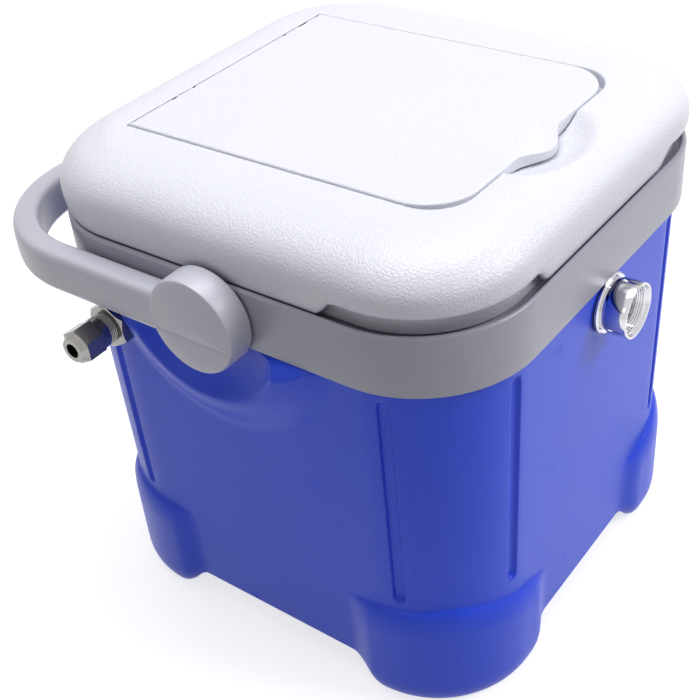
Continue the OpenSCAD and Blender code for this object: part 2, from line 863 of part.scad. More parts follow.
module inlet_union() {
  outer_stub = shoulder_z + shoulder_t;
  inner_stub = inner_seat - inner_hex_t;
  stub_len = inlet_nut_len - cone_t;
  color("silver") at_inlet() difference() {
    union() {
      translate([0, 0, inner_seat]) cylinder(r = fitting_r, h = shoulder_z - inner_seat);
      translate([0, 0, shoulder_z]) cylinder(d = inlet_nut_af, h = shoulder_t);
      translate([0, 0, outer_stub - cut]) cylinder(r = stub_r, h = stub_len + cut);
      mirror([0, 0, 1]) hex_nut(locknut_af, 0.5, -inner_seat, -inner_stub);
      translate([0, 0, inner_stub - stub_len]) cylinder(r = stub_r, h = stub_len + cut);
    }
    translate([0, 0, -far / 2]) cylinder(r = tube_r - 1.2, h = far);
    translate([0, 0, outer_stub + 3]) cylinder(r = tube_hole, h = far);
    translate([0, 0, inner_stub - 3 - far]) cylinder(r = tube_hole, h = far);
  }
}

// This seal lies half on the wall's flat and half on its curve.
module inlet_outer_washer() {
  seat_gap = 0.05;
  color("black") difference() {
    at_inlet() ring(locknut_af / 2, fitting_r + run_gap, -outer_sag - washer_t, washer_t);
    place() hull() for (z = [floor_gap, body_top])
      slab(half_w + seat_gap - lean(z), half_d + seat_gap - lean(z), corner_r + seat_gap - lean(z),
        z, z + cut / 100, $fn = 96);
  }
}

module inlet_inner_washer() {
  color("black") difference() {
    at_inlet() ring(locknut_af / 2, fitting_r + run_gap, inner_seat, -wall_t + washer_t);
    outside_liner();
  }
}

module inlet_locknut() {
  color("silver") at_inlet() hex_nut(locknut_af, fitting_r + run_gap, washer_t, washer_t + locknut_t);
}

// A compression nut: six flats, then a round nose with a bore for the tube.
module compression_nut() {
  nose = 4;
  socket = inlet_nut_len - 4.5;
  difference() {
    union() {
      cylinder(d = inlet_nut_af / cos(30), h = inlet_nut_len - nose, $fn = 6);
      translate([0, 0, inlet_nut_len - nose])
        cylinder(d1 = inlet_nut_af, d2 = inlet_nut_af - 5, h = nose);
    }
    translate([0, 0, -cut]) cylinder(r = stub_r + run_gap, h = socket + cut);
    cylinder(r = tube_hole, h = inlet_nut_len + cut);
  }
}

module ferrule() {
  difference() {
    cylinder(r1 = 7, r2 = 6.2, h = 1.2);
    translate([0, 0, -cut]) cylinder(r = tube_hole, h = 4);
  }
}

module inlet_nut() {
  color("silver") at_inlet() translate([0, 0, shoulder_z + shoulder_t + fit_gap]) compression_nut();
}

module inlet_ferrule() {
  color("gold") at_inlet() translate([0, 0, shoulder_z + shoulder_t + inlet_nut_len - cone_t]) ferrule();
}

module coil_nut() {
  color("silver") at_inlet() mirror([0, 0, 1])
    translate([0, 0, inner_hex_t - inner_seat + fit_gap]) compression_nut();
}

module coil_ferrule() {
  color("gold") at_inlet() mirror([0, 0, 1])
    translate([0, 0, inner_hex_t - inner_seat + inlet_nut_len - cone_t]) ferrule();
}

/* Tubes swept along a path */

function unit(v) = v / norm(v);
function direction(path, i) = unit(path[min(i + 1, len(path) - 1)] - path[max(i - 1, 0)]);
function square_to(side, ahead) = unit(side - (side * ahead) * ahead);

// One side vector for each point, carried along the path without twist.
function side_vectors(path, first) = [
  for (i = 0, s = square_to(first, direction(path, 0)); i < len(path);
    i = i + 1, s = i < len(path) ? square_to(s, direction(path, i)) : s) s
];

function rings(path, sides, r, count) = [
  for (i = [0 : len(path) - 1], k = [0 : count - 1])
    let (a = 360 * k / count)
      path[i] + r * (cos(a) * sides[i] + sin(a) * cross(direction(path, i), sides[i]))
];

// Two triangles for each side between one ring and the next.
function skin(first, steps, count, flip) = [
  for (i = [0 : steps - 1], k = [0 : count - 1])
    let (
      a = first + i * count + k, b = first + i * count + (k + 1) % count,
      c = a + count, d = b + count
    )
      each (flip ? [[a, b, c], [b, d, c]] : [[a, c, b], [b, c, d]])
];

module solid_tube(path, r, count, first) {
  n = len(path);
  last = (n - 1) * count;
  polyhedron(
    points = rings(path, side_vectors(path, first), r, count),
    faces = concat(
      skin(0, n - 1, count, false),
      [for (k = [1 : count - 2]) [0, k, k + 1]],
      [for (k = [1 : count - 2]) [last, last + k + 1, last + k]]
    )
  );
}

module hollow_tube(path, r_out, r_in, count, first) {
  n = len(path);
  sides = side_vectors(path, first);
  all = n * count;
  last = (n - 1) * count;
  polyhedron(
    points = concat(rings(path, sides, r_out, count), rings(path, sides, r_in, count)),
    faces = concat(
      skin(0, n - 1, count, false),
      skin(all, n - 1, count, true),
      [for (k = [0 : count - 1]) let (m = (k + 1) % count) each [[k, m, all + k], [m, all + m, all + k]]],
      [for (k = [0 : count - 1]) let (m = (k + 1) % count)
        each [[last + k, all + last + k, last + m], [last + m, all + last + k, all + last + m]]]
    )
  );
}

/* Coil */

coil_y = inlet_y - coil_r;
coil_low = liner_floor + tube_r + 0.3;
coil_top = min(inlet_z, tap_z - hose_d / 2 - tube_r - 1);
// As many whole turns as fit between the floor and the fittings.
coil_turns = floor((coil_top - coil_low) / (tube_d + turn_gap) - 0.5);
coil_pitch = (coil_top - coil_low) / (coil_turns + 0.5);
steps = 24;
foot_bend = 25;
return_r = 34;
riser_x = foot_bend;
riser_y = coil_y - coil_r + 2 * return_r;
riser_top = tap_z - 42;
coil_end_x = -inlet_x - inner_seat + inner_hex_t + 3;
ramp_len = 76;

// Down the riser, round the return bend, up the turns, and up a ramp to the inlet.
coil_path = concat(
  [[riser_x, riser_y, riser_top], [riser_x, riser_y, (riser_top + coil_low + foot_bend) / 2]],
  [for (a = [0 : 15 : 75])
    [foot_bend * cos(a), riser_y, coil_low + foot_bend - foot_bend * sin(a)]],
  [for (a = [90 : 18 : 252])
    [return_r * cos(a), riser_y - return_r + return_r * sin(a), coil_low]],
  [for (i = [0 : steps * (coil_turns + 0.5)])
    let (a = -90 + 360 * i / steps)
      [coil_r * cos(a), coil_y + coil_r * sin(a), coil_low + coil_pitch * i / steps]],
  [for (t = [0.1 : 0.15 : 1])
    [-ramp_len * t, inlet_y, coil_top + (inlet_z - coil_top) * (1 - cos(180 * t)) / 2]],
  [[coil_end_x + 1.2 * tube_d, inlet_y, inlet_z], [coil_end_x, inlet_y, inlet_z]]
);

// Points less than half a turn apart along the tube are neighbours, not a gap.
near = steps / 2;
coil_gap = min([
  for (i = [0 : len(coil_path) - 1 - near], j = [i + near : len(coil_path) - 1])
    norm(coil_path[i] - coil_path[j])
]) - tube_d;
echo(coil_least_gap_mm = coil_gap);

module cooling_coil() {
  color("silver") place() solid_tube(coil_path, tube_r, 6, [0, 1, 0]);
}

/* Hose from the coil to the tap */

hose_start = [riser_x, riser_y, riser_top + 5];
hose_finish = [tap_x, -tap_y - barb_back, tap_z];
hose_pull = 42;
function curve(p, q, u, v, t) =
  pow(1 - t, 3) * p + 3 * pow(1 - t, 2) * t * (p + u) + 3 * (1 - t) * t * t * (q + v) + pow(t, 3) * q;
hose_path = concat(
  [hose_start - [0, 0, 27], hose_start - [0, 0, 13]],
  [for (i = [0 : 10])
    curve(hose_start, hose_finish, [0, 0, hose_pull], [0, hose_pull, 0], i / 10)],
  [hose_finish - [0, 11, 0], hose_finish - [0, 22, 0]]
);

module outlet_hose() {
  color("ivory") place() hollow_tube(hose_path, hose_d / 2, tube_r + 0.45, 12, [1, 0, 0]);
}

// A band clamp with its screw housing, round the local Z axis.
module clamp_band() {
  ring(hose_d / 2 + 1, hose_d / 2 + fit_gap / 2, -4, 4);
  translate([hose_d / 2 + 0.8, -4, -4]) cube([5, 8, 8]);
}

module hose_clamps() {
  color("silver") place() {
    translate(hose_start - [0, 0, 17]) rotate([0, 0, 90]) clamp_band();
    translate(hose_finish - [0, 14, 0]) rotate([90, 90, 0]) clamp_band();
  }
}

outer_shell();
base_pan();
body_foam();
floor_foam();
inner_liner();
rim_collar();
lid_cover();
lid_foam();
lid_tray();
lid_hinge_pins();
hatch_cover();
hatch_plug();
hatch_hinge_pins();
carry_handle();
tap_shank();
shank_flange();
shank_outer_washer();
shank_inner_washer();
shank_locknut();
coupling_nut();
tail_piece();
tail_nut();
outlet_hose();
hose_clamps();
cooling_coil();
inlet_union();
inlet_outer_washer();
inlet_inner_washer();
inlet_locknut();
inlet_nut();
inlet_ferrule();
coil_nut();
coil_ferrule();
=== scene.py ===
import math

import bmesh
import bpy
import numpy as np
from mathutils import Matrix, Vector


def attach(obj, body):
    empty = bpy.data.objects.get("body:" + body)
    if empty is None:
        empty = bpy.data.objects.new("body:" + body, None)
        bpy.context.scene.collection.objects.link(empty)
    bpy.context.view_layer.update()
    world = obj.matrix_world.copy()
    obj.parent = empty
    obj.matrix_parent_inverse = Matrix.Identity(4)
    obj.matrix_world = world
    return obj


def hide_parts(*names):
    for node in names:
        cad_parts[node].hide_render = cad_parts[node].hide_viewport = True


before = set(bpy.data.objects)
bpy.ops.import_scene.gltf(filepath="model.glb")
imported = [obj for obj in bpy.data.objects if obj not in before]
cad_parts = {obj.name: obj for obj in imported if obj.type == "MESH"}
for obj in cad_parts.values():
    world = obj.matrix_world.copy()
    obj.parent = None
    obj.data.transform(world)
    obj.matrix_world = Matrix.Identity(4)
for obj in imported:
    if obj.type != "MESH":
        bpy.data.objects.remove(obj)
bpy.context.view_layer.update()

MM = 0.001

# ---------------------------------------------------------------- camera, floor and light
# The camera stands above the cooler's near front corner, where the photograph was taken from.
# Its place and axes were solved from the edges of the box. The cooler stands on a plain pale
# floor in white surroundings, under three soft lamps.

cam_data = bpy.data.cameras.new("studio_camera")
cam_data.lens = 63.07
cam_data.sensor_width = 36
cam_data.clip_end = 20
camera = bpy.data.objects.new("studio_camera", cam_data)
bpy.context.scene.collection.objects.link(camera)
bpy.context.scene.camera = camera
right = Vector((0.587105, -0.805827, -0.077145))
upward = Vector((0.517478, 0.300312, 0.801267))
turn = Matrix((right, upward, right.cross(upward))).transposed()
camera.matrix_world = Matrix.Translation((-0.532857, -0.416479, 0.641292)) @ turn.to_4x4()
bpy.context.scene.view_settings.view_transform = "Standard"


def link(name, verts, faces, smooth=True):
    """A mesh object at the origin, from points in metres."""
    mesh = bpy.data.meshes.new(name)
    mesh.from_pydata([tuple(map(float, v)) for v in verts], [], faces)
    mesh.validate()
    if smooth:
        mesh.shade_smooth()
    piece = bpy.data.objects.new(name, mesh)
    bpy.context.scene.collection.objects.link(piece)
    return piece


def new_material(name, base, roughness, **sockets):
    """A Principled material with its constants set on the shader's own sockets."""
    mat = bpy.data.materials.new(name)
    mat.use_nodes = True
    shader = mat.node_tree.nodes["Principled BSDF"]
    shader.inputs["Base Color"].default_value = (*base, 1)
    shader.inputs["Roughness"].default_value = roughness
    for socket, value in sockets.items():
        shader.inputs[socket.replace("_", " ")].default_value = value
    return mat


def two_tone(tree, mask, base, other):
    """Mixes two colours by a mask, and gives the result to the shader."""
    tint = tree.nodes.new("ShaderNodeMix")
    tint.data_type = "RGBA"
    tint.inputs["A"].default_value = (*base, 1)
    tint.inputs["B"].default_value = (*other, 1)
    tree.links.new(mask, tint.inputs["Factor"])
    tree.links.new(tint.outputs["Result"], tree.nodes["Principled BSDF"].inputs["Base Color"])


def add_node(tree, kind, **sockets):
    """A new node, with constants set on its named inputs."""
    node = tree.nodes.new(kind)
    for socket, value in sockets.items():
        node.inputs[socket.replace("_", " ")].default_value = value
    return node


def shown_directly(tree):
    """One for rays from the camera, and for what metal and clear pieces show of the background."""
    path = tree.nodes.new("ShaderNodeLightPath")
    rays = path.outputs["Is Camera Ray"]
    for kind in ("Is Glossy Ray", "Is Transmission Ray"):
        either = tree.nodes.new("ShaderNodeMath")
        either.operation = "MAXIMUM"
        tree.links.new(rays, either.inputs[0])
        tree.links.new(path.outputs[kind], either.inputs[1])
        rays = either.outputs[0]
    return rays


def pale_backdrop(name, light):
    """A diffuse finish with a glow that lights nothing, so it keeps shadows but looks white."""
    mat = bpy.data.materials.new(name)
    mat.use_nodes = True
    tree = mat.node_tree
    tree.nodes.clear()
    out = tree.nodes.new("ShaderNodeOutputMaterial")
    diffuse = add_node(tree, "ShaderNodeBsdfDiffuse", Color=(light, light, light, 1))
    glow = add_node(tree, "ShaderNodeEmission", Strength=0.72)
    both = tree.nodes.new("ShaderNodeAddShader")
    plain = tree.nodes.new("ShaderNodeMixShader")
    join = tree.links.new
    join(diffuse.outputs[0], both.inputs[0])
    join(glow.outputs[0], both.inputs[1])
    join(shown_directly(tree), plain.inputs["Fac"])
    join(diffuse.outputs[0], plain.inputs[1])
    join(both.outputs[0], plain.inputs[2])
    join(plain.outputs[0], out.inputs["Surface"])
    return mat


floor_half = 4.0
floor = link("studio_floor", [(-floor_half, -floor_half, 0), (floor_half, -floor_half, 0),
                              (floor_half, floor_half, 0), (-floor_half, floor_half, 0)],
             [(0, 1, 2, 3)], smooth=False)
floor.data.materials.append(pale_backdrop("pale_floor", 0.5))

world = bpy.data.worlds.new("studio")
bpy.context.scene.world = world
world.use_nodes = True
sky = world.node_tree
sky_light = sky.nodes["Background"]
sky_light.inputs["Color"].default_value = (1, 1, 1, 1)
sky_light.inputs["Strength"].default_value = 0.3
white = add_node(sky, "ShaderNodeBackground", Color=(1, 1, 1, 1), Strength=1)
shown = sky.nodes.new("ShaderNodeMixShader")
sky.links.new(shown_directly(sky), shown.inputs["Fac"])
sky.links.new(sky_light.outputs[0], shown.inputs[1])
sky.links.new(white.outputs[0], shown.inputs[2])
sky.links.new(shown.outputs[0], sky.nodes["World Output"].inputs["Surface"])


def soft_lamp(name, place, target, width, watts):
    """A soft rectangular lamp that shines from its place towards a target."""
    lamp = bpy.data.lights.new(name, "AREA")
    lamp.shape = "RECTANGLE"
    lamp.size = width
    lamp.size_y = width * 0.7
    lamp.energy = watts
    holder = bpy.data.objects.new(name, lamp)
    holder.location = place
    aim = Vector(target) - Vector(place)
    holder.rotation_euler = aim.to_track_quat("-Z", "Y").to_euler()
    bpy.context.scene.collection.objects.link(holder)


soft_lamp("overhead_lamp", (0.1, 0.1, 1.9), (0, 0, 0.2), 1.3, 24)
soft_lamp("front_lamp", (0.8, -1.5, 1.5), (0, 0, 0.15), 1.0, 24)
soft_lamp("side_lamp", (-1.8, 0.3, 1.1), (0, 0, 0.15), 0.8, 2)

# ---------------------------------------------------------------- walls
# The outer wall is one rotomoulded blue shell with a fine pebbled grain. Its four corner
# feet, the swelling round each handle hub and the upright grooves are moulded with it.

# Sizes are in millimetres, with x and y from the box's middle and z from the floor. The shift
# takes them to the frame's own middle.
shift = np.array([6.315, -11.677, 0])
wall_w, wall_d, wall_r, wall_top = 150, 152, 66, 279
wall_lean, collar_low = 4, 249
shell_t, shell_floor = 3, 22.5
foot_front, foot_side, foot_top, foot_stand = 52, 62, 82, 7
shoulder_h, foot_end_w, slant_w, slant_top = 19, 21, 26, 60
panel_high, turn_in, turn_in_h = 19, 9, 17
hub_y, hub_z = 5, 266


def outline(w, d, r, columns):
    """Points and outward directions round a rounded rectangle, one for each column.
    A column is (side, t) with t from -1 to 1 along a straight, or (corner, t) round it."""
    points, outward = [], []
    for part, t in columns:
        quarter = math.radians(90 * (part // 2))
        ahead = np.array([math.cos(quarter), math.sin(quarter)])
        out = np.array([ahead[1], -ahead[0]])
        half, reach = (w, d) if part % 4 in (0, 1) else (d, w)
        if part % 2 == 0:
            points.append(ahead * t * (half - r) + out * reach)
            outward.append(out)
        else:
            angle = (t + 1) / 2 * math.pi / 2
            way = out * math.cos(angle) + ahead * math.sin(angle)
            points.append(ahead * (half - r) + out * (reach - r) + way * r)
            outward.append(way)
    return np.array(points), np.array(outward)


def even_columns(straight, corner):
    columns = []
    for part in range(8):
        count = straight if part % 2 == 0 else corner
        columns += [(part, -1 + 2 * i / count) for i in range(count)]
    return columns


def smooth_step(x):
    x = np.clip(x, 0, 1)
    return x * x * (3 - 2 * x)


def level_ring(points, z):
    """Flat points, all put at one height."""
    return np.column_stack([points, np.full(len(points), z)])


def grid(name, rings, wrap=False, pole_start=False, pole_end=False, flip=False):
    """A skin over closed rings of equally many points, in millimetres of the box frame."""
    count = len(rings[0])
    verts = np.concatenate([np.asarray(ring, float) for ring in rings])
    faces = []
    rows = len(rings)
    for k in range(rows if wrap else rows - 1):
        a, b = k * count, (k + 1) % rows * count
        for i in range(count):
            j = (i + 1) % count
            quad = (a + i, a + j, b + j, b + i)
            faces.append(quad[::-1] if flip else quad)
    for pole, row, turned in ((pole_start, 0, not flip), (pole_end, rows - 1, flip)):
        if not pole:
            continue
        verts = np.vstack([verts, verts[row * count:(row + 1) * count].mean(axis=0)])
        tip = len(verts) - 1
        for i in range(count):
            edge = (row * count + i, row * count + (i + 1) % count)
            faces.append((edge[1], edge[0], tip) if turned else (*edge, tip))
    return link(name, (verts + shift) * MM, faces)


def grain_group():
    """Pebbled grain of moulded plastic: a height for the bump, and a faint mottle."""
    group = bpy.data.node_groups.new("moulded_grain", "ShaderNodeTree")
    sides = group.interface
    for name, start in (("Pebble", 900.0), ("Leather", 0.0), ("Mottle", 14.0)):
        sides.new_socket(name, in_out="INPUT", socket_type="NodeSocketFloat").default_value = start
    for name in ("Height", "Blotch", "Scuff"):
        sides.new_socket(name, in_out="OUTPUT", socket_type="NodeSocketFloat")
    into, out = group.nodes.new("NodeGroupInput"), group.nodes.new("NodeGroupOutput")
    place = group.nodes.new("ShaderNodeTexCoord")
    pebble = add_node(group, "ShaderNodeTexNoise", Detail=2)
    crease = add_node(group, "ShaderNodeTexVoronoi", Scale=420)
    crease.feature = "DISTANCE_TO_EDGE"
    soft = add_node(group, "ShaderNodeMapRange", From_Max=0.25)
    mix = group.nodes.new("ShaderNodeMix")
    blotch = add_node(group, "ShaderNodeTexNoise", Detail=3)
    scuff = add_node(group, "ShaderNodeTexNoise", Scale=55, Detail=4)
    scuff_mask = add_node(group, "ShaderNodeMapRange", From_Min=0.62, From_Max=0.8)
    join = group.links.new
    for node in (pebble, crease, blotch, scuff):
        join(place.outputs["Object"], node.inputs["Vector"])
    join(into.outputs["Pebble"], pebble.inputs["Scale"])
    join(into.outputs["Mottle"], blotch.inputs["Scale"])
    join(into.outputs["Leather"], mix.inputs["Factor"])
    join(crease.outputs["Distance"], soft.inputs["Value"])
    join(pebble.outputs["Fac"], mix.inputs["A"])
    join(soft.outputs["Result"], mix.inputs["B"])
    join(mix.outputs["Result"], out.inputs["Height"])
    join(blotch.outputs["Fac"], out.inputs["Blotch"])
    join(scuff.outputs["Fac"], scuff_mask.inputs["Value"])
    join(scuff_mask.outputs["Result"], out.inputs["Scuff"])
    return group


moulded_grain = grain_group()


def moulded_plastic(name, base, worn, roughness, pebble, leather, depth, **sockets):
    """Moulded plastic: mottled colour, a rougher scuffed patch here and there, and grain."""
    mat = new_material(name, base, roughness, **sockets)
    tree = mat.node_tree
    shader = tree.nodes["Principled BSDF"]
    grain = tree.nodes.new("ShaderNodeGroup")
    grain.node_tree = moulded_grain
    grain.inputs["Pebble"].default_value = pebble
    grain.inputs["Leather"].default_value = leather
    gloss = add_node(tree, "ShaderNodeMapRange", To_Min=roughness - 0.05, To_Max=roughness + 0.1)
    bump = add_node(tree, "ShaderNodeBump", Strength=1, Distance=depth * MM)
    two_tone(tree, grain.outputs["Blotch"], base, worn)
    tree.links.new(grain.outputs["Scuff"], gloss.inputs["Value"])
    tree.links.new(gloss.outputs["Result"], shader.inputs["Roughness"])
    tree.links.new(grain.outputs["Height"], bump.inputs["Height"])
    tree.links.new(bump.outputs["Normal"], shader.inputs["Normal"])
    return mat


blue_plastic = moulded_plastic("blue_polyethylene", (0.008, 0.052, 0.66), (0.012, 0.062, 0.74),
                               0.4, 1500, 0.0, 0.12, Specular_IOR_Level=0.34)

groove_side, groove_front, groove_half, groove_deep = 50, 55.5, 3.9, 2.7
groove_low, groove_high, groove_soft = 90, 237, 1.5
line_half, line_high, line_low = 0.2, 0.16, 12
least_turn = 0.0042


def groove_turn(part, beyond):
    """How far round a corner its grooves stand, before and beyond the corner's diagonal."""
    front_like = (part % 4 == 1) ^ (beyond > 0)
    return np.arcsin((wall_r - np.where(front_like, groove_front, groove_side)) / wall_r)


def wall_columns():
    """Close columns at the grooves and at the ends of the feet, wider ones elsewhere."""
    columns = []
    for part in range(8):
        half = (wall_w if part % 4 == 0 else wall_d) - wall_r
        if part % 2 == 0:
            step = 4.0 if part % 4 == 0 else 1.7
            columns += [(part, t) for t in np.linspace(-1, 1, int(2 * half / step) + 1)[:-1]]
        else:
            across = np.array([-5, -4.4, -3.9, -3.4, -2.8, -1.5, 0, 1.5, 2.8, 3.4, 3.9, 4.4, 5]) / wall_r
            at_line = np.array([-0.7, -0.3, 0, 0.3, 0.7]) / wall_r
            first, second = groove_turn(part, np.array([0.0, 1.0]))
            arc = np.concatenate([np.linspace(0, math.pi / 2, 40), first + across,
                                  math.pi / 2 - second + across, math.pi / 4 + at_line])
            arc = np.unique(np.round(arc, 4))
            keep = [arc[0]]
            for a in arc[1:]:
                if a - keep[-1] > least_turn:
                    keep.append(a)
            columns += [(part, 4 * a / math.pi - 1) for a in keep if a < math.pi / 2 - 0.001]
    return columns


columns = wall_columns()
base, outward = outline(wall_w, wall_d, wall_r, columns)
part_of = np.array([c[0] for c in columns])
arc_of = np.array([(c[1] + 1) / 2 * math.pi / 2 for c in columns])
corner = part_of % 2 == 1
# Distance along the wall from its middle, measured on round each corner.
half_of = np.where(part_of % 4 == 0, wall_w, wall_d) - wall_r
straight_s = np.abs(np.array([c[1] for c in columns])) * half_of
near_diagonal = np.minimum(arc_of, math.pi / 2 - arc_of)
corner_half = np.where(arc_of < math.pi / 4, np.where(part_of % 4 == 1, wall_w, wall_d),
                       np.where(part_of % 4 == 1, wall_d, wall_w)) - wall_r
along = np.where(corner, corner_half + wall_r * near_diagonal, straight_s)
to_diagonal = np.where(corner, wall_r * np.abs(arc_of - math.pi / 4), 1e3)
# Distance is measured to the front or back wall's end of a foot, or to the side wall's.
on_front = np.where(corner, (part_of % 4 == 1) ^ (arc_of > math.pi / 4), part_of % 4 == 0)
foot_end = np.where(on_front, foot_front, foot_side)
diagonal_at = wall_w - wall_r + wall_r * math.pi / 4
low_edge = panel_high * (1 - smooth_step((along - foot_end - 1) / slant_w)) ** 1.3


def wall_offset(z):
    """How far the wall stands out of its leaning plane at the heights z of each column."""
    offset = -wall_lean * (collar_low - z) / collar_low
    # feet: a crisp line and a broad round shoulder on top, lower away from the corner, and soft ends
    back_off = np.maximum(diagonal_at - along, 0)
    droop = np.where(on_front, 0.076, 0.03)
    down = np.clip((foot_top - droop * back_off ** 1.3 - z) / shoulder_h, 0, 1)
    end = smooth_step((along - foot_end) / foot_end_w)
    stand = foot_stand - wall_lean + wall_lean * (collar_low - z) / collar_low
    offset += stand * np.sqrt(1 - (1 - down) ** 2) * end
    # the bottom edge of each foot turns in
    under = 1 - np.clip((z - low_edge * (1 - z / slant_top)) / turn_in_h, 0, 1)
    offset -= turn_in * (1 - np.sqrt(np.clip(1 - under ** 2.4, 0, 1))) * end
    # grooves, with round ends
    around = wall_r * np.abs(near_diagonal - groove_turn(part_of, arc_of > math.pi / 4))
    past = np.maximum(np.maximum(z - groove_high, groove_low - z), 0)
    from_line = np.where(corner, np.hypot(around, past), 1e3)
    offset -= groove_deep * smooth_step((groove_half + groove_soft / 3 - from_line) / groove_soft)
    # the two halves of the mould meet down the corners, and leave a fine raised line
    offset += line_high * (to_diagonal < line_half) * (z > line_low)
    # the wall's top edge is rounded where it goes up into the collar
    edge_in, edge_h = 1.6, 2.2
    offset -= edge_in * smooth_step((z - collar_low + edge_h + 0.4) / edge_h)
    return offset


swell_y, swell_h, ridge_r, seat_r, seat_h, fall_w = 14, 11.5, 58, 36, 1.2, 30
ledge_out, ledge_slope, swell_reach, swell_fade = 4.4, 0.65, 97, 14


def hub_swelling(points, z):
    """The swelling under each hub: a dished seat, a rounded ridge and a long soft fall.
    Under the collar it is cut back to a sloping ledge."""
    facing = np.abs(points[:, 0]) > wall_w - swell_fade
    away = np.hypot(points[:, 1] - swell_y, z - hub_z)
    dished = seat_h + (swell_h - seat_h) * np.clip((away - seat_r) / (ridge_r - seat_r), 0, 1) ** 2.2
    fall = swell_h * (0.5 + 0.5 * np.cos(np.clip((away - ridge_r) / fall_w, 0, 1) * math.pi)) ** 0.9
    ridge = np.where(away > ridge_r, fall, dished)
    ledge = ledge_out + ledge_slope * np.maximum(collar_low - z, 0)
    ends = smooth_step((swell_reach - np.abs(points[:, 1])) / swell_fade)
    return np.where(facing, np.minimum(ridge, ledge), 0) * ends


# Rows lie close together at the bottom edge, the feet's shoulders and the swelling.
heights = np.unique(np.round(np.concatenate([
    np.array([0, 0.6, 1.5, 2.8, 4.4, 6.4, 9, 12, 15]), np.arange(18, 55, 4), np.arange(56, 84, 1.1),
    np.arange(groove_low - 5, groove_low + 1, 0.8), np.arange(94, 166, 8), np.arange(166, 232, 2),
    np.arange(232, 250, 1.05), [251, 258, wall_top]]), 2))
rings = []
for z in heights[::-1]:
    level = z + low_edge * max(1 - z / slant_top, 0)
    points = base + outward * wall_offset(level)[:, None]
    points = points + outward * hub_swelling(points, level)[:, None]
    rings.append(np.column_stack([points, level]))


def under_box(x, y):
    """Height of the underside: the feet stand on the floor, the panel between is raised."""
    over_x = smooth_step((np.abs(x) - foot_front - 1) / slant_w)
    over_y = smooth_step((np.abs(y) - foot_side - 1) / slant_w)
    return panel_high * (1 - over_x * over_y) ** 1.3


edge = rings[-1]
for size in (0.985, 0.96, 0.92, 0.86, 0.78, 0.7, 0.62, 0.54, 0.48,
             0.44, 0.41, 0.39, 0.37, 0.34, 0.28, 0.18, 0.08):
    inner = edge[:, :2] * size
    rings.append(np.column_stack([inner, under_box(inner[:, 0], inner[:, 1])]))
inside = []
for z in (wall_top, foot_top - 2, shell_floor):
    inset = shell_t + wall_lean * (collar_low - z) / collar_low
    inside.append(level_ring(base - outward * inset, z))
walls = grid("walls", inside[::-1] + rings, pole_start=True, pole_end=True, flip=True)
walls.data.materials.append(blue_plastic)
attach(walls, "cooler_box")
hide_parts("outer_shell", "base_pan")

# ---------------------------------------------------------------- foam and liner
# Poured foam fills the wall, and a smooth white liner forms the ice space. The liner's
# flange lies on the foam and is held under the collar.

foam = moulded_plastic("poured_foam", (0.75, 0.66, 0.42), (0.7, 0.6, 0.36), 0.8, 500, 0.0, 0.3)
white_plastic = moulded_plastic("white_liner_plastic", (0.8, 0.8, 0.79), (0.77, 0.77, 0.765),
                                0.28, 700, 0.0, 0.02)


def finish_node(name, material):
    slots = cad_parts[name].data.materials
    slots.clear()
    slots.append(material)


finish_node("inner_liner", white_plastic)

foam_in, foam_low, foam_top, foam_floor = 3.6, 3.4, 3.3, 39.6
liner_in, liner_r = 20.3, 36.5
foam_rings = []
for ring in rings[:len(heights)]:
    level = ring[:, 2] * (wall_top - foam_low - foam_top) / wall_top + foam_low
    foam_rings.append(np.column_stack([ring[:, :2] - outward * foam_in, level]))
for size in (0.96, 0.9, 0.8, 0.7, 0.6, 0.5, 0.4, 0.2):
    inner = foam_rings[len(heights) - 1][:, :2] * size
    foam_rings.append(np.column_stack([inner, under_box(inner[:, 0], inner[:, 1]) + foam_low]))
foam_inside = []
for z in (foam_floor, foot_top - 2, wall_top - foam_top):
    lean = wall_lean * (collar_low - z) / collar_low
    inner, _ = outline(wall_w - liner_in - lean, wall_d - liner_in - lean, liner_r - lean, columns)
    foam_inside.append(level_ring(inner, z))
foam_fill = grid("foam_fill", foam_inside + foam_rings, pole_start=True, pole_end=True, flip=True)
foam_fill.data.materials.append(foam)
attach(foam_fill, "cooler_box")
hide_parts("body_foam", "floor_foam")

# ---------------------------------------------------------------- collar
# The grey collar is pressed down over the wall and glued. It has a rounded lip and a wide
# ledge for the lid, and carries the two pivot posts and the four hinge lugs.

grey_plastic = moulded_plastic("grey_collar_plastic", (0.31, 0.31, 0.38), (0.335, 0.335, 0.405),
                               0.36, 1300, 0.0, 0.05)
collar_w, collar_d, collar_r, lip_z, ledge_z = 154.5, 156.5, 70.5, 287, 282
mouth_w, mouth_d, mouth_r = 127, 129, 34
ring_columns = even_columns(16, 20)


def band(w, d, r, z):
    return level_ring(outline(w, d, r, ring_columns)[0], z)


def bend(w, d, r, z, size, start, stop, steps=4, inward=1):
    """Rings round a bend of the given size, from one angle to another, in degrees."""
    made = []
    for k in range(steps + 1):
        a = math.radians(start + (stop - start) * k / steps)
        grow = size * (math.cos(a) - 1) * inward
        made.append(band(w + grow, d + grow, r + grow, z + size * math.sin(a)))
    return made


def collar_band(inset, z):
    return band(collar_w - inset, collar_d - inset, collar_r - inset, z)


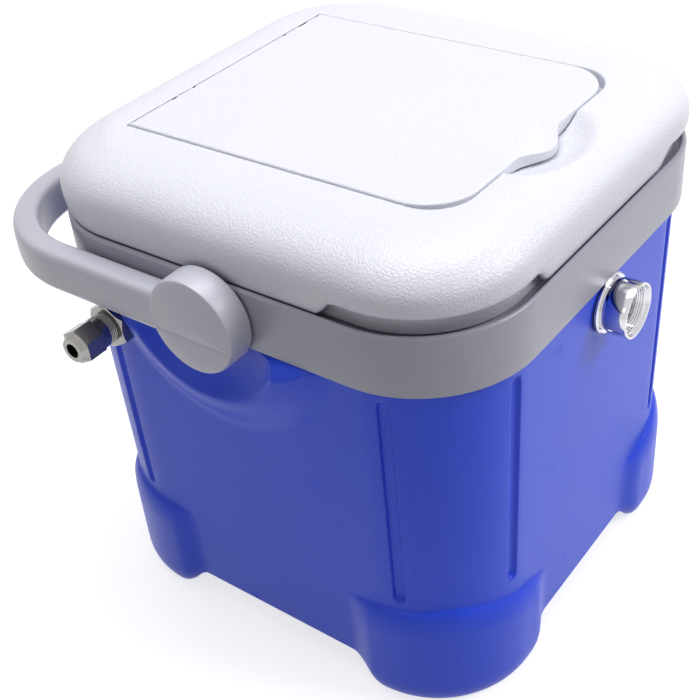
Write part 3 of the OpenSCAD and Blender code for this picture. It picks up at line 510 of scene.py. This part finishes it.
lip, low_bend, mouth_bend, collar_t = 2.2, 0.8, 1.5, 3
collar_rings = (
    [collar_band(collar_t, collar_low)]
    + bend(collar_w, collar_d, collar_r, collar_low + low_bend, low_bend, -90, 0, 3)
    + [collar_band(0, collar_low + 12), collar_band(0, lip_z - 17)]
    + bend(collar_w, collar_d, collar_r, lip_z - lip, lip, 0, 90, 6)
    + [collar_band(collar_t, lip_z - 0.5)]
    + [collar_band(collar_t + 0.4, ledge_z + 0.8), collar_band(collar_t + 1.2, ledge_z)]
    + [band(mouth_w + 12, mouth_d + 12, mouth_r + 16, ledge_z)]
    + bend(mouth_w, mouth_d, mouth_r, ledge_z - mouth_bend, mouth_bend, 90, 0, 4, -1)
    + [band(mouth_w, mouth_d, mouth_r, wall_top), collar_band(collar_t, wall_top)]
)
collar = grid("collar", collar_rings, wrap=True)


def lathe(bm, profile, place, axis, sides=48, close=True):
    """Turns a profile of (radius, distance along the axis) into a closed solid of revolution."""
    axis = Vector(axis).normalized()
    side = axis.orthogonal().normalized()
    turn_side = axis.cross(side)
    loops = []
    for radius, along_axis in profile:
        centre = Vector(place) + axis * along_axis
        if radius < 1e-6:
            loops.append([bm.verts.new(centre)])
            continue
        loops.append([bm.verts.new(centre + radius * (side * math.cos(2 * math.pi * i / sides)
                                                      + turn_side * math.sin(2 * math.pi * i / sides)))
                      for i in range(sides)])
    pairs = list(zip(loops, loops[1:]))
    if close:
        pairs.append((loops[-1], loops[0]))
    for low, high in pairs:
        if len(low) == 1 and len(high) == 1:
            continue
        for i in range(sides):
            j = (i + 1) % sides
            if len(low) == 1:
                bm.faces.new((low[0], high[j], high[i]))
            elif len(high) == 1:
                bm.faces.new((low[i], low[j], high[0]))
            else:
                bm.faces.new((low[i], low[j], high[j], high[i]))


def block(bm, low, high, bevel=0.0):
    """A box between two corners, with rounded edges."""
    made = bmesh.ops.create_cube(bm, size=1)["verts"]
    for v in made:
        v.co = Vector([l + (h - l) * (c + 0.5) for l, h, c in zip(low, high, v.co)])
    if bevel:
        edges = list(dict.fromkeys(e for v in made for e in v.link_edges))
        bmesh.ops.bevel(bm, geom=edges, offset=bevel, segments=3, profile=0.5, affect="EDGES")


def add_solids(piece_name, build, join_to=None, smooth_angle=35):
    """Builds solids in millimetres of the box frame, as a piece or joined to a piece."""
    bm = bmesh.new()
    build(bm)
    bmesh.ops.recalc_face_normals(bm, faces=bm.faces)
    bmesh.ops.transform(bm, matrix=Matrix.Scale(MM, 4) @ Matrix.Translation(Vector(shift)), verts=bm.verts)
    if join_to:
        bm.from_mesh(join_to.data)
        bm.to_mesh(join_to.data)
        piece = join_to
    else:
        mesh = bpy.data.meshes.new(piece_name)
        bm.to_mesh(mesh)
        piece = bpy.data.objects.new(piece_name, mesh)
        bpy.context.scene.collection.objects.link(piece)
    bm.free()
    piece.data.shade_smooth()
    bm = bmesh.new()
    bm.from_mesh(piece.data)
    for e in bm.edges:
        if len(e.link_faces) == 2 and e.calc_face_angle(0) > math.radians(smooth_angle):
            e.smooth = False
    bm.to_mesh(piece.data)
    bm.free()
    return piece


hinge_x, hinge_y, hinge_z = 70, 160.5, 292
knuckle_r, knuckle_bore, knuckle_edge, knuckle_half, lug_half, lug_at = 5, 2.55, 0.4, 10, 4, 14.4
post_x, post_r, post_long = 152, 13, 17


def barrel(bm, x, half):
    """A bored hinge barrel on the lid's axis, with softened rims."""
    rim = knuckle_r - knuckle_edge
    lathe(bm, [(knuckle_bore, -half), (rim, -half), (knuckle_r, knuckle_edge - half),
               (knuckle_r, half - knuckle_edge), (rim, half), (knuckle_bore, half)],
          (x, hinge_y, hinge_z), (1, 0, 0), 32)


def posts_and_lugs(bm):
    for side in (-1, 1):
        lathe(bm, [(0, 0), (post_r, 0), (post_r, post_long - 1), (post_r - 1, post_long), (0, post_long)],
              (side * post_x, hub_y, hub_z), (side, 0, 0), close=False)
        for end in (-1, 1):
            x = side * hinge_x + end * lug_at
            block(bm, (x - lug_half, hinge_y - knuckle_r, wall_top - 2),
                  (x + lug_half, hinge_y + knuckle_r - 0.1, hinge_z - 0.5), 0.5)
            barrel(bm, x, lug_half)


add_solids("collar", posts_and_lugs, collar)
collar.data.materials.append(grey_plastic)
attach(collar, "cooler_box")
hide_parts("rim_collar")

bright_steel = new_material("plain_steel", (0.6, 0.6, 0.62), 0.3, Metallic=1.0)
finish_node("lid_hinge_pins", bright_steel)

# ---------------------------------------------------------------- lid
# The lid's outer skin is a pale blow-moulded pillow with a leather-like grain. A pocket in
# it holds the hatch, a round dish makes room for a finger, and its skirt is raised round
# both front corners.

pale_plastic = moulded_plastic("pale_lid_plastic", (0.63, 0.635, 0.71), (0.66, 0.665, 0.735),
                               0.4, 700, 0.75, 0.16)
lid_low, lid_top, lid_wide_z = 286.3, 327, 302.3
lid_w, lid_d, lid_r, crown, tuck = 153.5, 155.5, 66, 47, 3.5
hatch_w, hatch_front, hatch_back, hatch_r = 94, 111, 114, 31
pocket_z, throat_z, hatch_top = 319, 316.5, 327.5
dish_y, dish_r, dish_deep = -97, 44.5, 10
pocket_gap, pocket_back_gap, pocket_corner, pocket_edge = 1, 0.7, 1.5, 0.9
throat_w, throat_front, throat_back, throat_r = 80, 97, 92, 21
skirt_up, skirt_from, skirt_fade = 12, 66, 12
hollow, hollow_half = 8, 84
band_in, band_out, band_low = 9.8, 7.8, 283.6


def mixed_outline(w, front, back, r_front, r_back, columns):
    """Like outline, but with its own radius at the two front and the two back corners."""
    points = []
    for part, t in columns:
        side = part // 2
        corners = ((-w, -front), (w, -front), (w, back), (-w, back))
        radii = (r_front, r_front, r_back, r_back)
        turned = (side + 1) % 4
        quarter = math.radians(90 * side)
        ahead = np.array([math.cos(quarter), math.sin(quarter)])
        out = np.array([ahead[1], -ahead[0]])
        start = np.array(corners[side]) + ahead * radii[side]
        stop = np.array(corners[turned]) - ahead * radii[turned]
        if part % 2 == 0:
            points.append(start + (stop - start) * (t + 1) / 2)
        else:
            angle = (t + 1) / 2 * math.pi / 2
            way = out * math.cos(angle) + ahead * math.sin(angle)
            points.append(stop + radii[turned] * (way - out))
    return np.array(points)


def back_line(x):
    """The lid's back edge is drawn in a little between the corners."""
    return lid_d - hollow * np.clip(1 - (x / hollow_half) ** 2, 0, 1)


def dish(x, y):
    """Depth of the finger dish below the lid's top."""
    away = np.hypot(x, y - dish_y) / dish_r
    return dish_deep * (1 - np.clip(away, 0, 1) ** 2.6) ** 0.75


lid_columns = even_columns(40, 28)


def lid_ring(inset, z):
    """A ring drawn in from the lid's outline, a little less at the front and the back.
    Its back corners get squarer near the pocket, whose own back corners are square."""
    crowned = max(inset - 5, 0)
    front_r = max(lid_r - 0.6 * inset, 20)
    back_r = front_r - 26 * smooth_step((inset - 22) / 25)
    front, back = lid_d - inset + 0.17 * crowned, lid_d - inset + 0.22 * crowned
    points = mixed_outline(lid_w - inset, front, back, front_r, back_r, lid_columns)
    points[:, 1] = np.minimum(points[:, 1], back_line(points[:, 0]))
    return level_ring(points, z)


def sunk(ring):
    ring = ring.copy()
    ring[:, 2] = np.minimum(ring[:, 2], lid_top - dish(ring[:, 0], ring[:, 1]))
    return ring


def skirt_low(points):
    """Height of the skirt's lower edge: raised round both front corners."""
    beside = smooth_step((np.abs(points[:, 0]) - skirt_from) / skirt_fade)
    before = smooth_step((-skirt_from - points[:, 1]) / skirt_fade)
    return skirt_up * beside * before


lid_rings = []
for k in range(9):
    a = math.radians(-90 + 11.25 * k)
    ring = lid_ring(tuck * (1 - math.cos(a)), lid_wide_z + (lid_wide_z - lid_low) * math.sin(a))
    ring[:, 2] += skirt_low(ring) * (1 - k / 8) ** 0.8
    lid_rings.append(ring)
fullness = 2 / 0.84
for k in range(17):
    a = math.radians(90 * k / 16)
    inset = crown * (1 - math.cos(a) ** (2 / fullness))
    z = lid_wide_z + (lid_top - lid_wide_z) * math.sin(a) ** (2 / fullness)
    lid_rings.append(sunk(lid_ring(inset, z)))
rim_from = lid_rings[-1]
pocket_r = hatch_r - 6


def pocket_outline(inward):
    return mixed_outline(hatch_w + pocket_gap - inward, hatch_front + pocket_gap - inward,
                         hatch_back + pocket_back_gap - inward, pocket_r - inward,
                         max(pocket_corner - inward, 0.4), lid_columns)


pocket = pocket_outline(-pocket_edge)
for t in [*np.arange(1, 13) / 13, 0.97]:
    lid_rings.append(sunk(level_ring(rim_from[:, :2] * (1 - t) + pocket * t, lid_top)))


def pocket_ring(inward, z):
    return sunk(level_ring(pocket_outline(inward), z))


lid_rings += [pocket_ring(-pocket_edge / 3, lid_top - pocket_edge / 3), pocket_ring(0, lid_top - pocket_edge),
              pocket_ring(0.02, pocket_z + 0.5), pocket_ring(0.5, pocket_z)]


def throat_ring(grow, z, sink=False):
    made = mixed_outline(throat_w + grow, throat_front + grow, throat_back + grow,
                         throat_r + grow, throat_r + grow, lid_columns)
    return sunk(level_ring(made, z)) if sink else level_ring(made, z)


lid_rings += [throat_ring(7, pocket_z, True), throat_ring(0.5, pocket_z, True),
              throat_ring(0, pocket_z - 0.5, True), throat_ring(0, throat_z)]
# Behind the skirt the tray's band goes down into the collar.
for inset, z in ((44, throat_z), (12, 305), (band_in, 300), (band_in, band_low + 0.6),
                 (band_in - 0.4, band_low), (band_out + 0.4, band_low), (band_out, band_low + 0.6),
                 (band_out, 297.5), (tuck + 1.6, 299.2)):
    lid_rings.append(lid_ring(inset, z))
for inset, above in ((tuck + 1.6, 0.6), (tuck + 1.3, 0.1), (tuck + 0.5, 0)):
    last = lid_ring(inset, lid_low + above)
    last[:, 2] += skirt_low(last)
    lid_rings.append(last)
lid_skin = grid("lid_skin", lid_rings, wrap=True, flip=False)


def lid_knuckles(bm):
    for side in (-1, 1):
        x = side * hinge_x
        barrel(bm, x, knuckle_half)
        block(bm, (x - knuckle_half, lid_d - 10.5, hinge_z - 1.8),
              (x + knuckle_half, hinge_y - 1.5, hinge_z + 4.8), 0.6)


add_solids("lid_skin", lid_knuckles, lid_skin, 40)
lid_skin.data.materials.append(pale_plastic)
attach(lid_skin, "lid")
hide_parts("lid_cover")
finish_node("lid_tray", white_plastic)

fill_in, fill_low, fill_pocket = 3.4, 299.4, pocket_z - 3
lid_foam_rings = [lid_ring(13, fill_low), lid_ring(5, fill_low)]
for k in range(15):
    a = math.radians(90 * k / 14)
    inset = fill_in + (crown - 5) * (1 - math.cos(a) ** (2 / fullness))
    z = lid_wide_z + (lid_top - fill_in - lid_wide_z) * math.sin(a) ** (2 / fullness)
    lid_foam_rings.append(lid_ring(inset, z))
for grow, z in ((4.5, lid_top - fill_in), (4.5, fill_pocket), (-9, fill_pocket)):
    made = mixed_outline(hatch_w + grow, hatch_front + grow, hatch_back + grow - 1, pocket_r, 6, lid_columns)
    lid_foam_rings.append(level_ring(made, z))
lid_foam_rings += [throat_ring(3.2, fill_pocket), throat_ring(3.2, fill_low)]
for ring in lid_foam_rings[:-1]:
    ring[:, 2] = np.minimum(ring[:, 2], lid_top - fill_in - dish(ring[:, 0], ring[:, 1]))
    ring[:, 1] = np.minimum(ring[:, 1], back_line(ring[:, 0]) - fill_in)
lid_fill = grid("lid_foam_fill", lid_foam_rings, wrap=True)
lid_fill.data.materials.append(foam)
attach(lid_fill, "lid")
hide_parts("lid_foam")
finish_node("hatch_hinge_pins", bright_steel)

# ---------------------------------------------------------------- hatch
# The hatch is a second pale moulding that lies flush in the lid. It turns on two short
# pins at its back edge, and its plug closes the throat below.

hatch_columns = even_columns(40, 20)


def hatch_ring(inward, z, back_in=None, tab=0.0, roll=0.0):
    """The hatch's outline. In front it swells into a rounded tab, whose top rolls down in the dish."""
    back = hatch_back - (inward if back_in is None else back_in)
    made = mixed_outline(hatch_w - inward, hatch_front - inward, back, max(hatch_r - inward, 6),
                         max(1.2 - 0.2 * inward, 0.4), hatch_columns)
    in_front = made[:, 1] < -60
    swell = np.cos(np.clip((made[:, 0] - tab_x) / tab_w, -1, 1) * math.pi / 2) ** 1.6 * in_front
    made[:, 1] -= tab * tab_out * swell
    return np.column_stack([made, z - roll * tab_roll * swell])


hatch_t, edge_r, tab_x, tab_w, tab_out, tab_roll = 8, 1.3, -1, 24, 9.5, 2.2
hatch_low = hatch_top - hatch_t
hatch_rings = [hatch_ring(2.5, hatch_low + 2, 7), hatch_ring(2.5, hatch_low, 7),
               hatch_ring(1.2, hatch_low, 3, 0.6)]
for k in range(9):
    a = math.radians(-60 + 18.75 * k)
    ring = hatch_ring(edge_r * (1 - math.cos(a)), 0, 2.4 * (1 - math.cos(a)), 1.0, float(a > 0))
    round_r = edge_r + 1.1 * smooth_step((ring[:, 1] - 106) / 5)
    ring[:, 2] += np.where(a > 0, hatch_top - round_r, hatch_low + round_r) + round_r * math.sin(a)
    hatch_rings.append(ring)
for inward, tab in ((2, 1), (4.5, 0.9), (8, 0.62), (13, 0.25), (20, 0), (32, 0), (46, 0), (62, 0), (78, 0)):
    hatch_rings.append(hatch_ring(inward, hatch_top, tab=tab, roll=tab))
hatch = grid("hatch", hatch_rings, pole_start=True, pole_end=True, flip=False)
hatch.data.materials.append(pale_plastic)
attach(hatch, "hatch")
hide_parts("hatch_cover")
finish_node("hatch_plug", white_plastic)

# ---------------------------------------------------------------- carrying handle
# The bail is one thick pale moulding. Its two round hubs snap over the posts on the collar
# and its arms run back round the box; the mould's parting line shows along the arms.

handle_plastic = moulded_plastic("handle_plastic", (0.47, 0.47, 0.545), (0.51, 0.51, 0.585),
                                 0.38, 1100, 0.0, 0.07)
hub_x, hub_t, hub_r, arm_t, arm_h = 156, 18, 29.5, 17, 27
boss_bore, boss_r, shell_bore, hub_deep = post_r + 0.05, 16, 26.5, 15
post_end = post_x + post_long - hub_x + 0.05
reach, bend_r = 195, 80
arm_x = hub_x + arm_t / 2


def hub_drum(bm):
    for side in (-1, 1):
        lathe(bm, [(0, post_end), (boss_bore, post_end), (boss_bore, 0), (boss_r, 0), (boss_r, hub_deep),
                   (shell_bore, hub_deep), (shell_bore, 0), (hub_r - 0.6, 0), (hub_r, 0.6),
                   (hub_r, hub_t - 2.6), (hub_r - 0.7, hub_t - 0.9), (hub_r - 2.6, hub_t), (0, hub_t)],
              (side * hub_x, hub_y, hub_z), (side, 0, 0), 96, close=False)


def arm_section(count=40, power=4.2):
    """The arm's section: a rectangle with full round corners."""
    points = []
    for i in range(count):
        a = 2 * math.pi * (i + 0.5) / count
        c, s = math.cos(a), math.sin(a)
        points.append((math.copysign(arm_t / 2 * abs(c) ** (2 / power), c),
                       math.copysign(arm_h / 2 * abs(s) ** (2 / power), s)))
    return points


def bail_rings():
    """The arm's section carried from one hub back, round the bar and forward to the other hub."""
    path = []
    bar_y = reach - arm_t / 2
    turn_r = bend_r - arm_t / 2
    for y in np.linspace(22, bar_y - turn_r, 14):
        path.append(((-arm_x, y), (0, 1)))
    for k in range(1, 25):
        a = math.radians(90 * k / 24)
        path.append(((-arm_x + turn_r * (1 - math.cos(a)), bar_y - turn_r + turn_r * math.sin(a)),
                     (math.sin(a), math.cos(a))))
    for x in np.linspace(-(arm_x - turn_r), 0, 12)[1:]:
        path.append(((x, bar_y), (1, 0)))
    path += [((-p[0], p[1]), (d[0], -d[1])) for p, d in path[-2::-1]]
    rings = []
    for p, d in path:
        side = np.array([d[1], -d[0]])
        rings.append([(*(np.array(p) - side * u), hub_z + v) for u, v in arm_section()])
    return rings


def parting_line(piece, z, half, deep):
    """A fine groove all round a piece at one height, where the two halves of its mould met."""
    bm = bmesh.new()
    bm.from_mesh(piece.data)
    for level in (z - half, z, z + half):
        bmesh.ops.bisect_plane(bm, geom=bm.verts[:] + bm.edges[:] + bm.faces[:], dist=1e-7,
                               plane_co=(0, 0, level * MM), plane_no=(0, 0, 1))
    bm.normal_update()
    for v in [v for v in bm.verts if abs(v.co.z - z * MM) < 1e-6]:
        v.co -= v.normal * deep * MM
    bm.to_mesh(piece.data)
    bm.free()


bail = grid("carry_handle_moulding", bail_rings(), pole_start=True, pole_end=True)
add_solids("carry_handle_moulding", hub_drum, bail, 38)
line_drop = 8
parting_line(bail, hub_z - line_drop, 0.32, 0.3)
bail.data.materials.append(handle_plastic)
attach(bail, "handle")
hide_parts("carry_handle")

# ---------------------------------------------------------------- tap shank
# A chromed shank runs through the front wall on two rubber seals. A plain flange covers
# the hole, and the loose coupling nut with its ring of spanner holes waits for a tap.


def polished_metal(name, base, roughness, streak, stain):
    """Bare or plated metal: fine drawn streaks in the roughness, and darker stained spots."""
    mat = new_material(name, base, roughness, Metallic=1.0)
    tree = mat.node_tree
    shader = tree.nodes["Principled BSDF"]
    place = tree.nodes.new("ShaderNodeTexCoord")
    spread = add_node(tree, "ShaderNodeTexNoise", Scale=streak, Detail=3)
    gloss = add_node(tree, "ShaderNodeMapRange", To_Min=roughness * 0.6, To_Max=roughness * 1.5)
    two_tone(tree, spread.outputs["Fac"], base, stain)
    tree.links.new(place.outputs["Object"], spread.inputs["Vector"])
    tree.links.new(spread.outputs["Fac"], gloss.inputs["Value"])
    tree.links.new(gloss.outputs["Result"], shader.inputs["Roughness"])
    return mat


chrome = polished_metal("chrome_plate", (0.7, 0.7, 0.73), 0.08, 160, (0.58, 0.58, 0.61))
black_rubber = moulded_plastic("black_rubber", (0.02, 0.02, 0.022), (0.03, 0.03, 0.03), 0.6, 900, 0.0, 0.05)
for node in ("tap_shank", "shank_locknut", "tail_piece", "tail_nut"):
    finish_node(node, chrome)
for node in ("shank_outer_washer", "shank_inner_washer", "inlet_outer_washer", "inlet_inner_washer"):
    finish_node(node, black_rubber)

tap_x, tap_y, tap_z = 10, 151.647, 227
nut_r, nut_back, nut_front, thread_r, shank_r = 17.25, 6.0, 20.0, 13.7, 11.0


def tap_flange(bm):
    back, flange_r, collar_out = 1, 19, 16.25
    lathe(bm, [(shank_r + 0.05, back), (flange_r - 0.4, back), (flange_r, back + 0.3), (flange_r, back + 1.4),
               (flange_r - 0.8, back + 2.5), (collar_out, back + 2.6), (collar_out, nut_back),
               (shank_r + 0.05, nut_back)], (tap_x, -tap_y, tap_z), (0, -1, 0), 96)


def tap_nut(bm):
    """The nut's outside and its countersunk, threaded mouth, down to the shank's end inside."""
    pocket, shank_end, pitch = nut_back + 3, 11.8, 1.41
    profile = [(shank_r + 0.05, nut_back + 0.2), (nut_r - 0.9, nut_back + 0.2),
               (nut_r - 0.25, nut_back + 0.45), (nut_r, nut_back + 1.1), (nut_r, nut_front - 0.9),
               (nut_r - 0.25, nut_front - 0.25),
               (nut_r - 0.8, nut_front), (nut_r - 1.5, nut_front - 0.2), (thread_r + 1.1, nut_front - 2.4),
               (thread_r + 0.5, nut_front - 2.7)]
    at = nut_front - 3
    while at > shank_end + 0.6:
        profile += [(thread_r + 0.4, at), (thread_r, at - pitch / 2)]
        at -= pitch
    profile += [(thread_r + 0.3, shank_end), (thread_r + 0.3, pocket), (shank_r + 0.05, pocket)]
    lathe(bm, profile, (tap_x, -tap_y, tap_z), (0, -1, 0), 96)


def settle(piece):
    """Makes what a piece's modifiers give into its plain mesh."""
    done = bpy.data.meshes.new_from_object(piece.evaluated_get(bpy.context.evaluated_depsgraph_get()))
    piece.modifiers.clear()
    piece.data = done


def drill(piece, build):
    """Cuts the solids that build makes out of a piece."""
    cutter = add_solids("cutter", build)
    cut = piece.modifiers.new("holes", "BOOLEAN")
    cut.operation, cut.solver, cut.object = "DIFFERENCE", "EXACT", cutter
    settle(piece)
    bpy.data.objects.remove(cutter)


def spanner_holes(bm):
    for k in range(3):
        a = math.radians(86 + 120 * k)
        way = Vector((math.cos(a), 0, math.sin(a)))
        place = Vector((tap_x, -tap_y - nut_back - 5, tap_z)) + way * (nut_r - 1.6)
        lathe(bm, [(0, 0), (1.05, 0), (1.05, 4), (0, 4)], place, way, 24, close=False)


flange = add_solids("tap_flange", tap_flange, smooth_angle=28)
nut = add_solids("tap_coupling_nut", tap_nut, smooth_angle=28)
drill(nut, spanner_holes)
for piece, body, node in ((flange, "cooler_box", "shank_flange"), (nut, "coupling_nut", "coupling_nut")):
    piece.data.materials.clear()
    piece.data.materials.append(chrome)
    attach(piece, body)
    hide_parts(node)

# ---------------------------------------------------------------- inlet fitting
# A stainless bulkhead union takes the drink line on the side wall. A large locknut clamps
# it, and a compression nut with a brass ferrule grips the tube.

turned_steel = polished_metal("turned_stainless", (0.36, 0.35, 0.34), 0.22, 240, (0.27, 0.26, 0.25))
brass = polished_metal("brass", (0.7, 0.5, 0.2), 0.3, 200, (0.55, 0.38, 0.15))
for node in ("inlet_union", "inlet_locknut", "inlet_nut", "coil_nut"):
    finish_node(node, turned_steel)
for node in ("inlet_ferrule", "coil_ferrule"):
    finish_node(node, brass)


def thread_tree():
    """A screw thread: a ridge with a square section swept along a spiral, one turn per pitch."""
    tree = bpy.data.node_groups.new("screw_thread", "GeometryNodeTree")
    sides = tree.interface
    sides.new_socket("Geometry", in_out="OUTPUT", socket_type="NodeSocketGeometry")
    for name in ("Radius", "Pitch", "Turns", "Ridge"):
        sides.new_socket(name, in_out="INPUT", socket_type="NodeSocketFloat")
    sides.new_socket("Finish", in_out="INPUT", socket_type="NodeSocketMaterial")
    into, out = tree.nodes.new("NodeGroupInput"), tree.nodes.new("NodeGroupOutput")
    spiral = add_node(tree, "GeometryNodeCurveSpiral", Resolution=48)
    rise = tree.nodes.new("ShaderNodeMath")
    rise.operation = "MULTIPLY"
    ridge = add_node(tree, "GeometryNodeCurvePrimitiveCircle", Resolution=4)
    sweep = add_node(tree, "GeometryNodeCurveToMesh", Fill_Caps=True)
    real = tree.nodes.new("GeometryNodeRealizeInstances")
    coat = tree.nodes.new("GeometryNodeSetMaterial")
    join = tree.links.new
    join(into.outputs["Turns"], spiral.inputs["Rotations"])
    join(into.outputs["Radius"], spiral.inputs["Start Radius"])
    join(into.outputs["Radius"], spiral.inputs["End Radius"])
    join(into.outputs["Pitch"], rise.inputs[0])
    join(into.outputs["Turns"], rise.inputs[1])
    join(rise.outputs[0], spiral.inputs["Height"])
    join(into.outputs["Ridge"], ridge.inputs["Radius"])
    join(spiral.outputs[0], sweep.inputs["Curve"])
    join(ridge.outputs[0], sweep.inputs["Profile Curve"])
    join(sweep.outputs[0], real.inputs[0])
    join(real.outputs[0], coat.inputs["Geometry"])
    join(into.outputs["Finish"], coat.inputs["Material"])
    join(coat.outputs[0], out.inputs["Geometry"])
    return tree


screw_thread = thread_tree()


def grow_tree(name, tree, place, axis, values):
    """Runs a tree with named inputs and returns its result as a plain mesh, put in place."""
    piece = link(name, [(0, 0, 0)], [])
    made = piece.modifiers.new("made", "NODES")
    made.node_group = tree
    for socket in tree.interface.items_tree:
        if socket.in_out == "INPUT" and socket.name in values:
            made[socket.identifier] = values[socket.name]
    settle(piece)
    turned = Vector((0, 0, 1)).rotation_difference(Vector(axis)).to_matrix().to_4x4()
    piece.data.transform(Matrix.Translation((Vector(place) + Vector(shift)) * MM) @ turned)
    bm = bmesh.new()
    bm.from_mesh(piece.data)
    bmesh.ops.recalc_face_normals(bm, faces=bm.faces)
    bm.to_mesh(piece.data)
    bm.free()
    return piece


inlet_x, inlet_y, inlet_z = 149.631, 94, 226
thread_at, thread_pitch, thread_turns = 9.4, 1.3, 4
thread = grow_tree("inlet_neck_thread", screw_thread, (-inlet_x - thread_at, inlet_y, inlet_z), (-1, 0, 0),
                   {"Radius": 9.45 * MM, "Pitch": thread_pitch * MM, "Turns": float(thread_turns),
                    "Ridge": 0.55 * MM, "Finish": turned_steel})
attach(thread, "cooler_box")

# ---------------------------------------------------------------- chilling coil and hose
# One length of drawn stainless tube is wound into a coil that stands in the ice. A clear
# hose with two band clamps leads from its riser to the tail of the tap shank.

drawn_steel = polished_metal("drawn_stainless", (0.5, 0.5, 0.52), 0.22, 90, (0.42, 0.42, 0.44))
clear_vinyl = new_material("clear_vinyl", (0.8, 0.82, 0.78), 0.18, Alpha=0.55)
tube_r, coil_r, coil_y, coil_low, coil_top, coil_turns = 4.75, 85, 9, 47.05, 214.25, 15
riser_x, return_r, foot_bend, riser_top, ramp = 25, 34, 25, 185, 76
fitting_in, coil_grip = 26.381, 9
coil_end_x = -inlet_x + fitting_in + coil_grip
hose_r = 7
riser_y = coil_y - coil_r + 2 * return_r
coil_path = [(riser_x, riser_y, z) for z in np.linspace(riser_top, coil_low + foot_bend, 9)]
coil_path += [(foot_bend * math.cos(a), riser_y, coil_low + foot_bend * (1 - math.sin(a)))
              for a in np.radians(np.arange(8, 84, 8))]
coil_path += [(return_r * math.cos(a), riser_y - return_r + return_r * math.sin(a), coil_low)
              for a in np.radians(np.arange(90, 262, 9))]
turn_steps = 48
for i in range(int(turn_steps * (coil_turns + 0.5)) + 1):
    a = math.radians(-90 + 360 * i / turn_steps)
    rise = (coil_top - coil_low) / (coil_turns + 0.5) * i / turn_steps
    coil_path.append((coil_r * math.cos(a), coil_y + coil_r * math.sin(a), coil_low + rise))
for t in np.arange(0.08, 1.001, 0.0766):
    coil_path.append((-ramp * t, inlet_y, coil_top + (inlet_z - coil_top) * (1 - math.cos(math.pi * t)) / 2))
coil_path += [(coil_end_x + 11, inlet_y, inlet_z), (coil_end_x, inlet_y, inlet_z)]


def swept(path, radius, sides, first):
    """Rings of a round tube along a path, carried along without twist."""
    path = np.array(path, float)
    ahead = np.gradient(path, axis=0)
    ahead /= np.linalg.norm(ahead, axis=1)[:, None]
    side = np.array(first, float)
    rings = []
    for p, t in zip(path, ahead):
        side = side - side.dot(t) * t
        side /= np.linalg.norm(side)
        across = np.cross(t, side)
        rings.append([p + radius * (side * math.cos(a) + across * math.sin(a))
                      for a in np.linspace(0, 2 * math.pi, sides, endpoint=False)])
    return rings


coil_rings = swept(coil_path, tube_r, 14, (0, 1, 0))
coil = grid("chilling_coil", coil_rings, pole_start=True, pole_end=True, flip=True)
coil.data.materials.append(drawn_steel)
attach(coil, "cooler_box")
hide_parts("cooling_coil")

# The hose is pushed over the riser's end and over the barbed tail, and bends between them.
tail_end, pull = 75, 42
hose_start = np.array([riser_x, riser_y, riser_top + 5.0])
hose_stop = np.array([tap_x, -tap_y + tail_end, tap_z])
hose_path = [hose_start + (0, 0, d) for d in (-27, -22, -17, -12, -6)]
for t in np.linspace(0, 1, 25):
    hose_path.append((1 - t) ** 3 * hose_start + 3 * (1 - t) ** 2 * t * (hose_start + (0, 0, pull))
                     + 3 * (1 - t) * t * t * (hose_stop + (0, pull, 0)) + t ** 3 * hose_stop)
hose_path += [hose_stop + (0, -d, 0) for d in (5.5, 11, 16.5, 22)]
hose_skin = swept(hose_path, hose_r, 24, (1, 0, 0))
hose_bore = swept(hose_path, tube_r + 0.45, 24, (1, 0, 0))
hose = grid("outlet_hose_tube", hose_skin + hose_bore[::-1], wrap=True, flip=True)
hose.data.materials.append(clear_vinyl)
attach(hose, "cooler_box")
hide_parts("outlet_hose")
finish_node("hose_clamps", bright_steel)
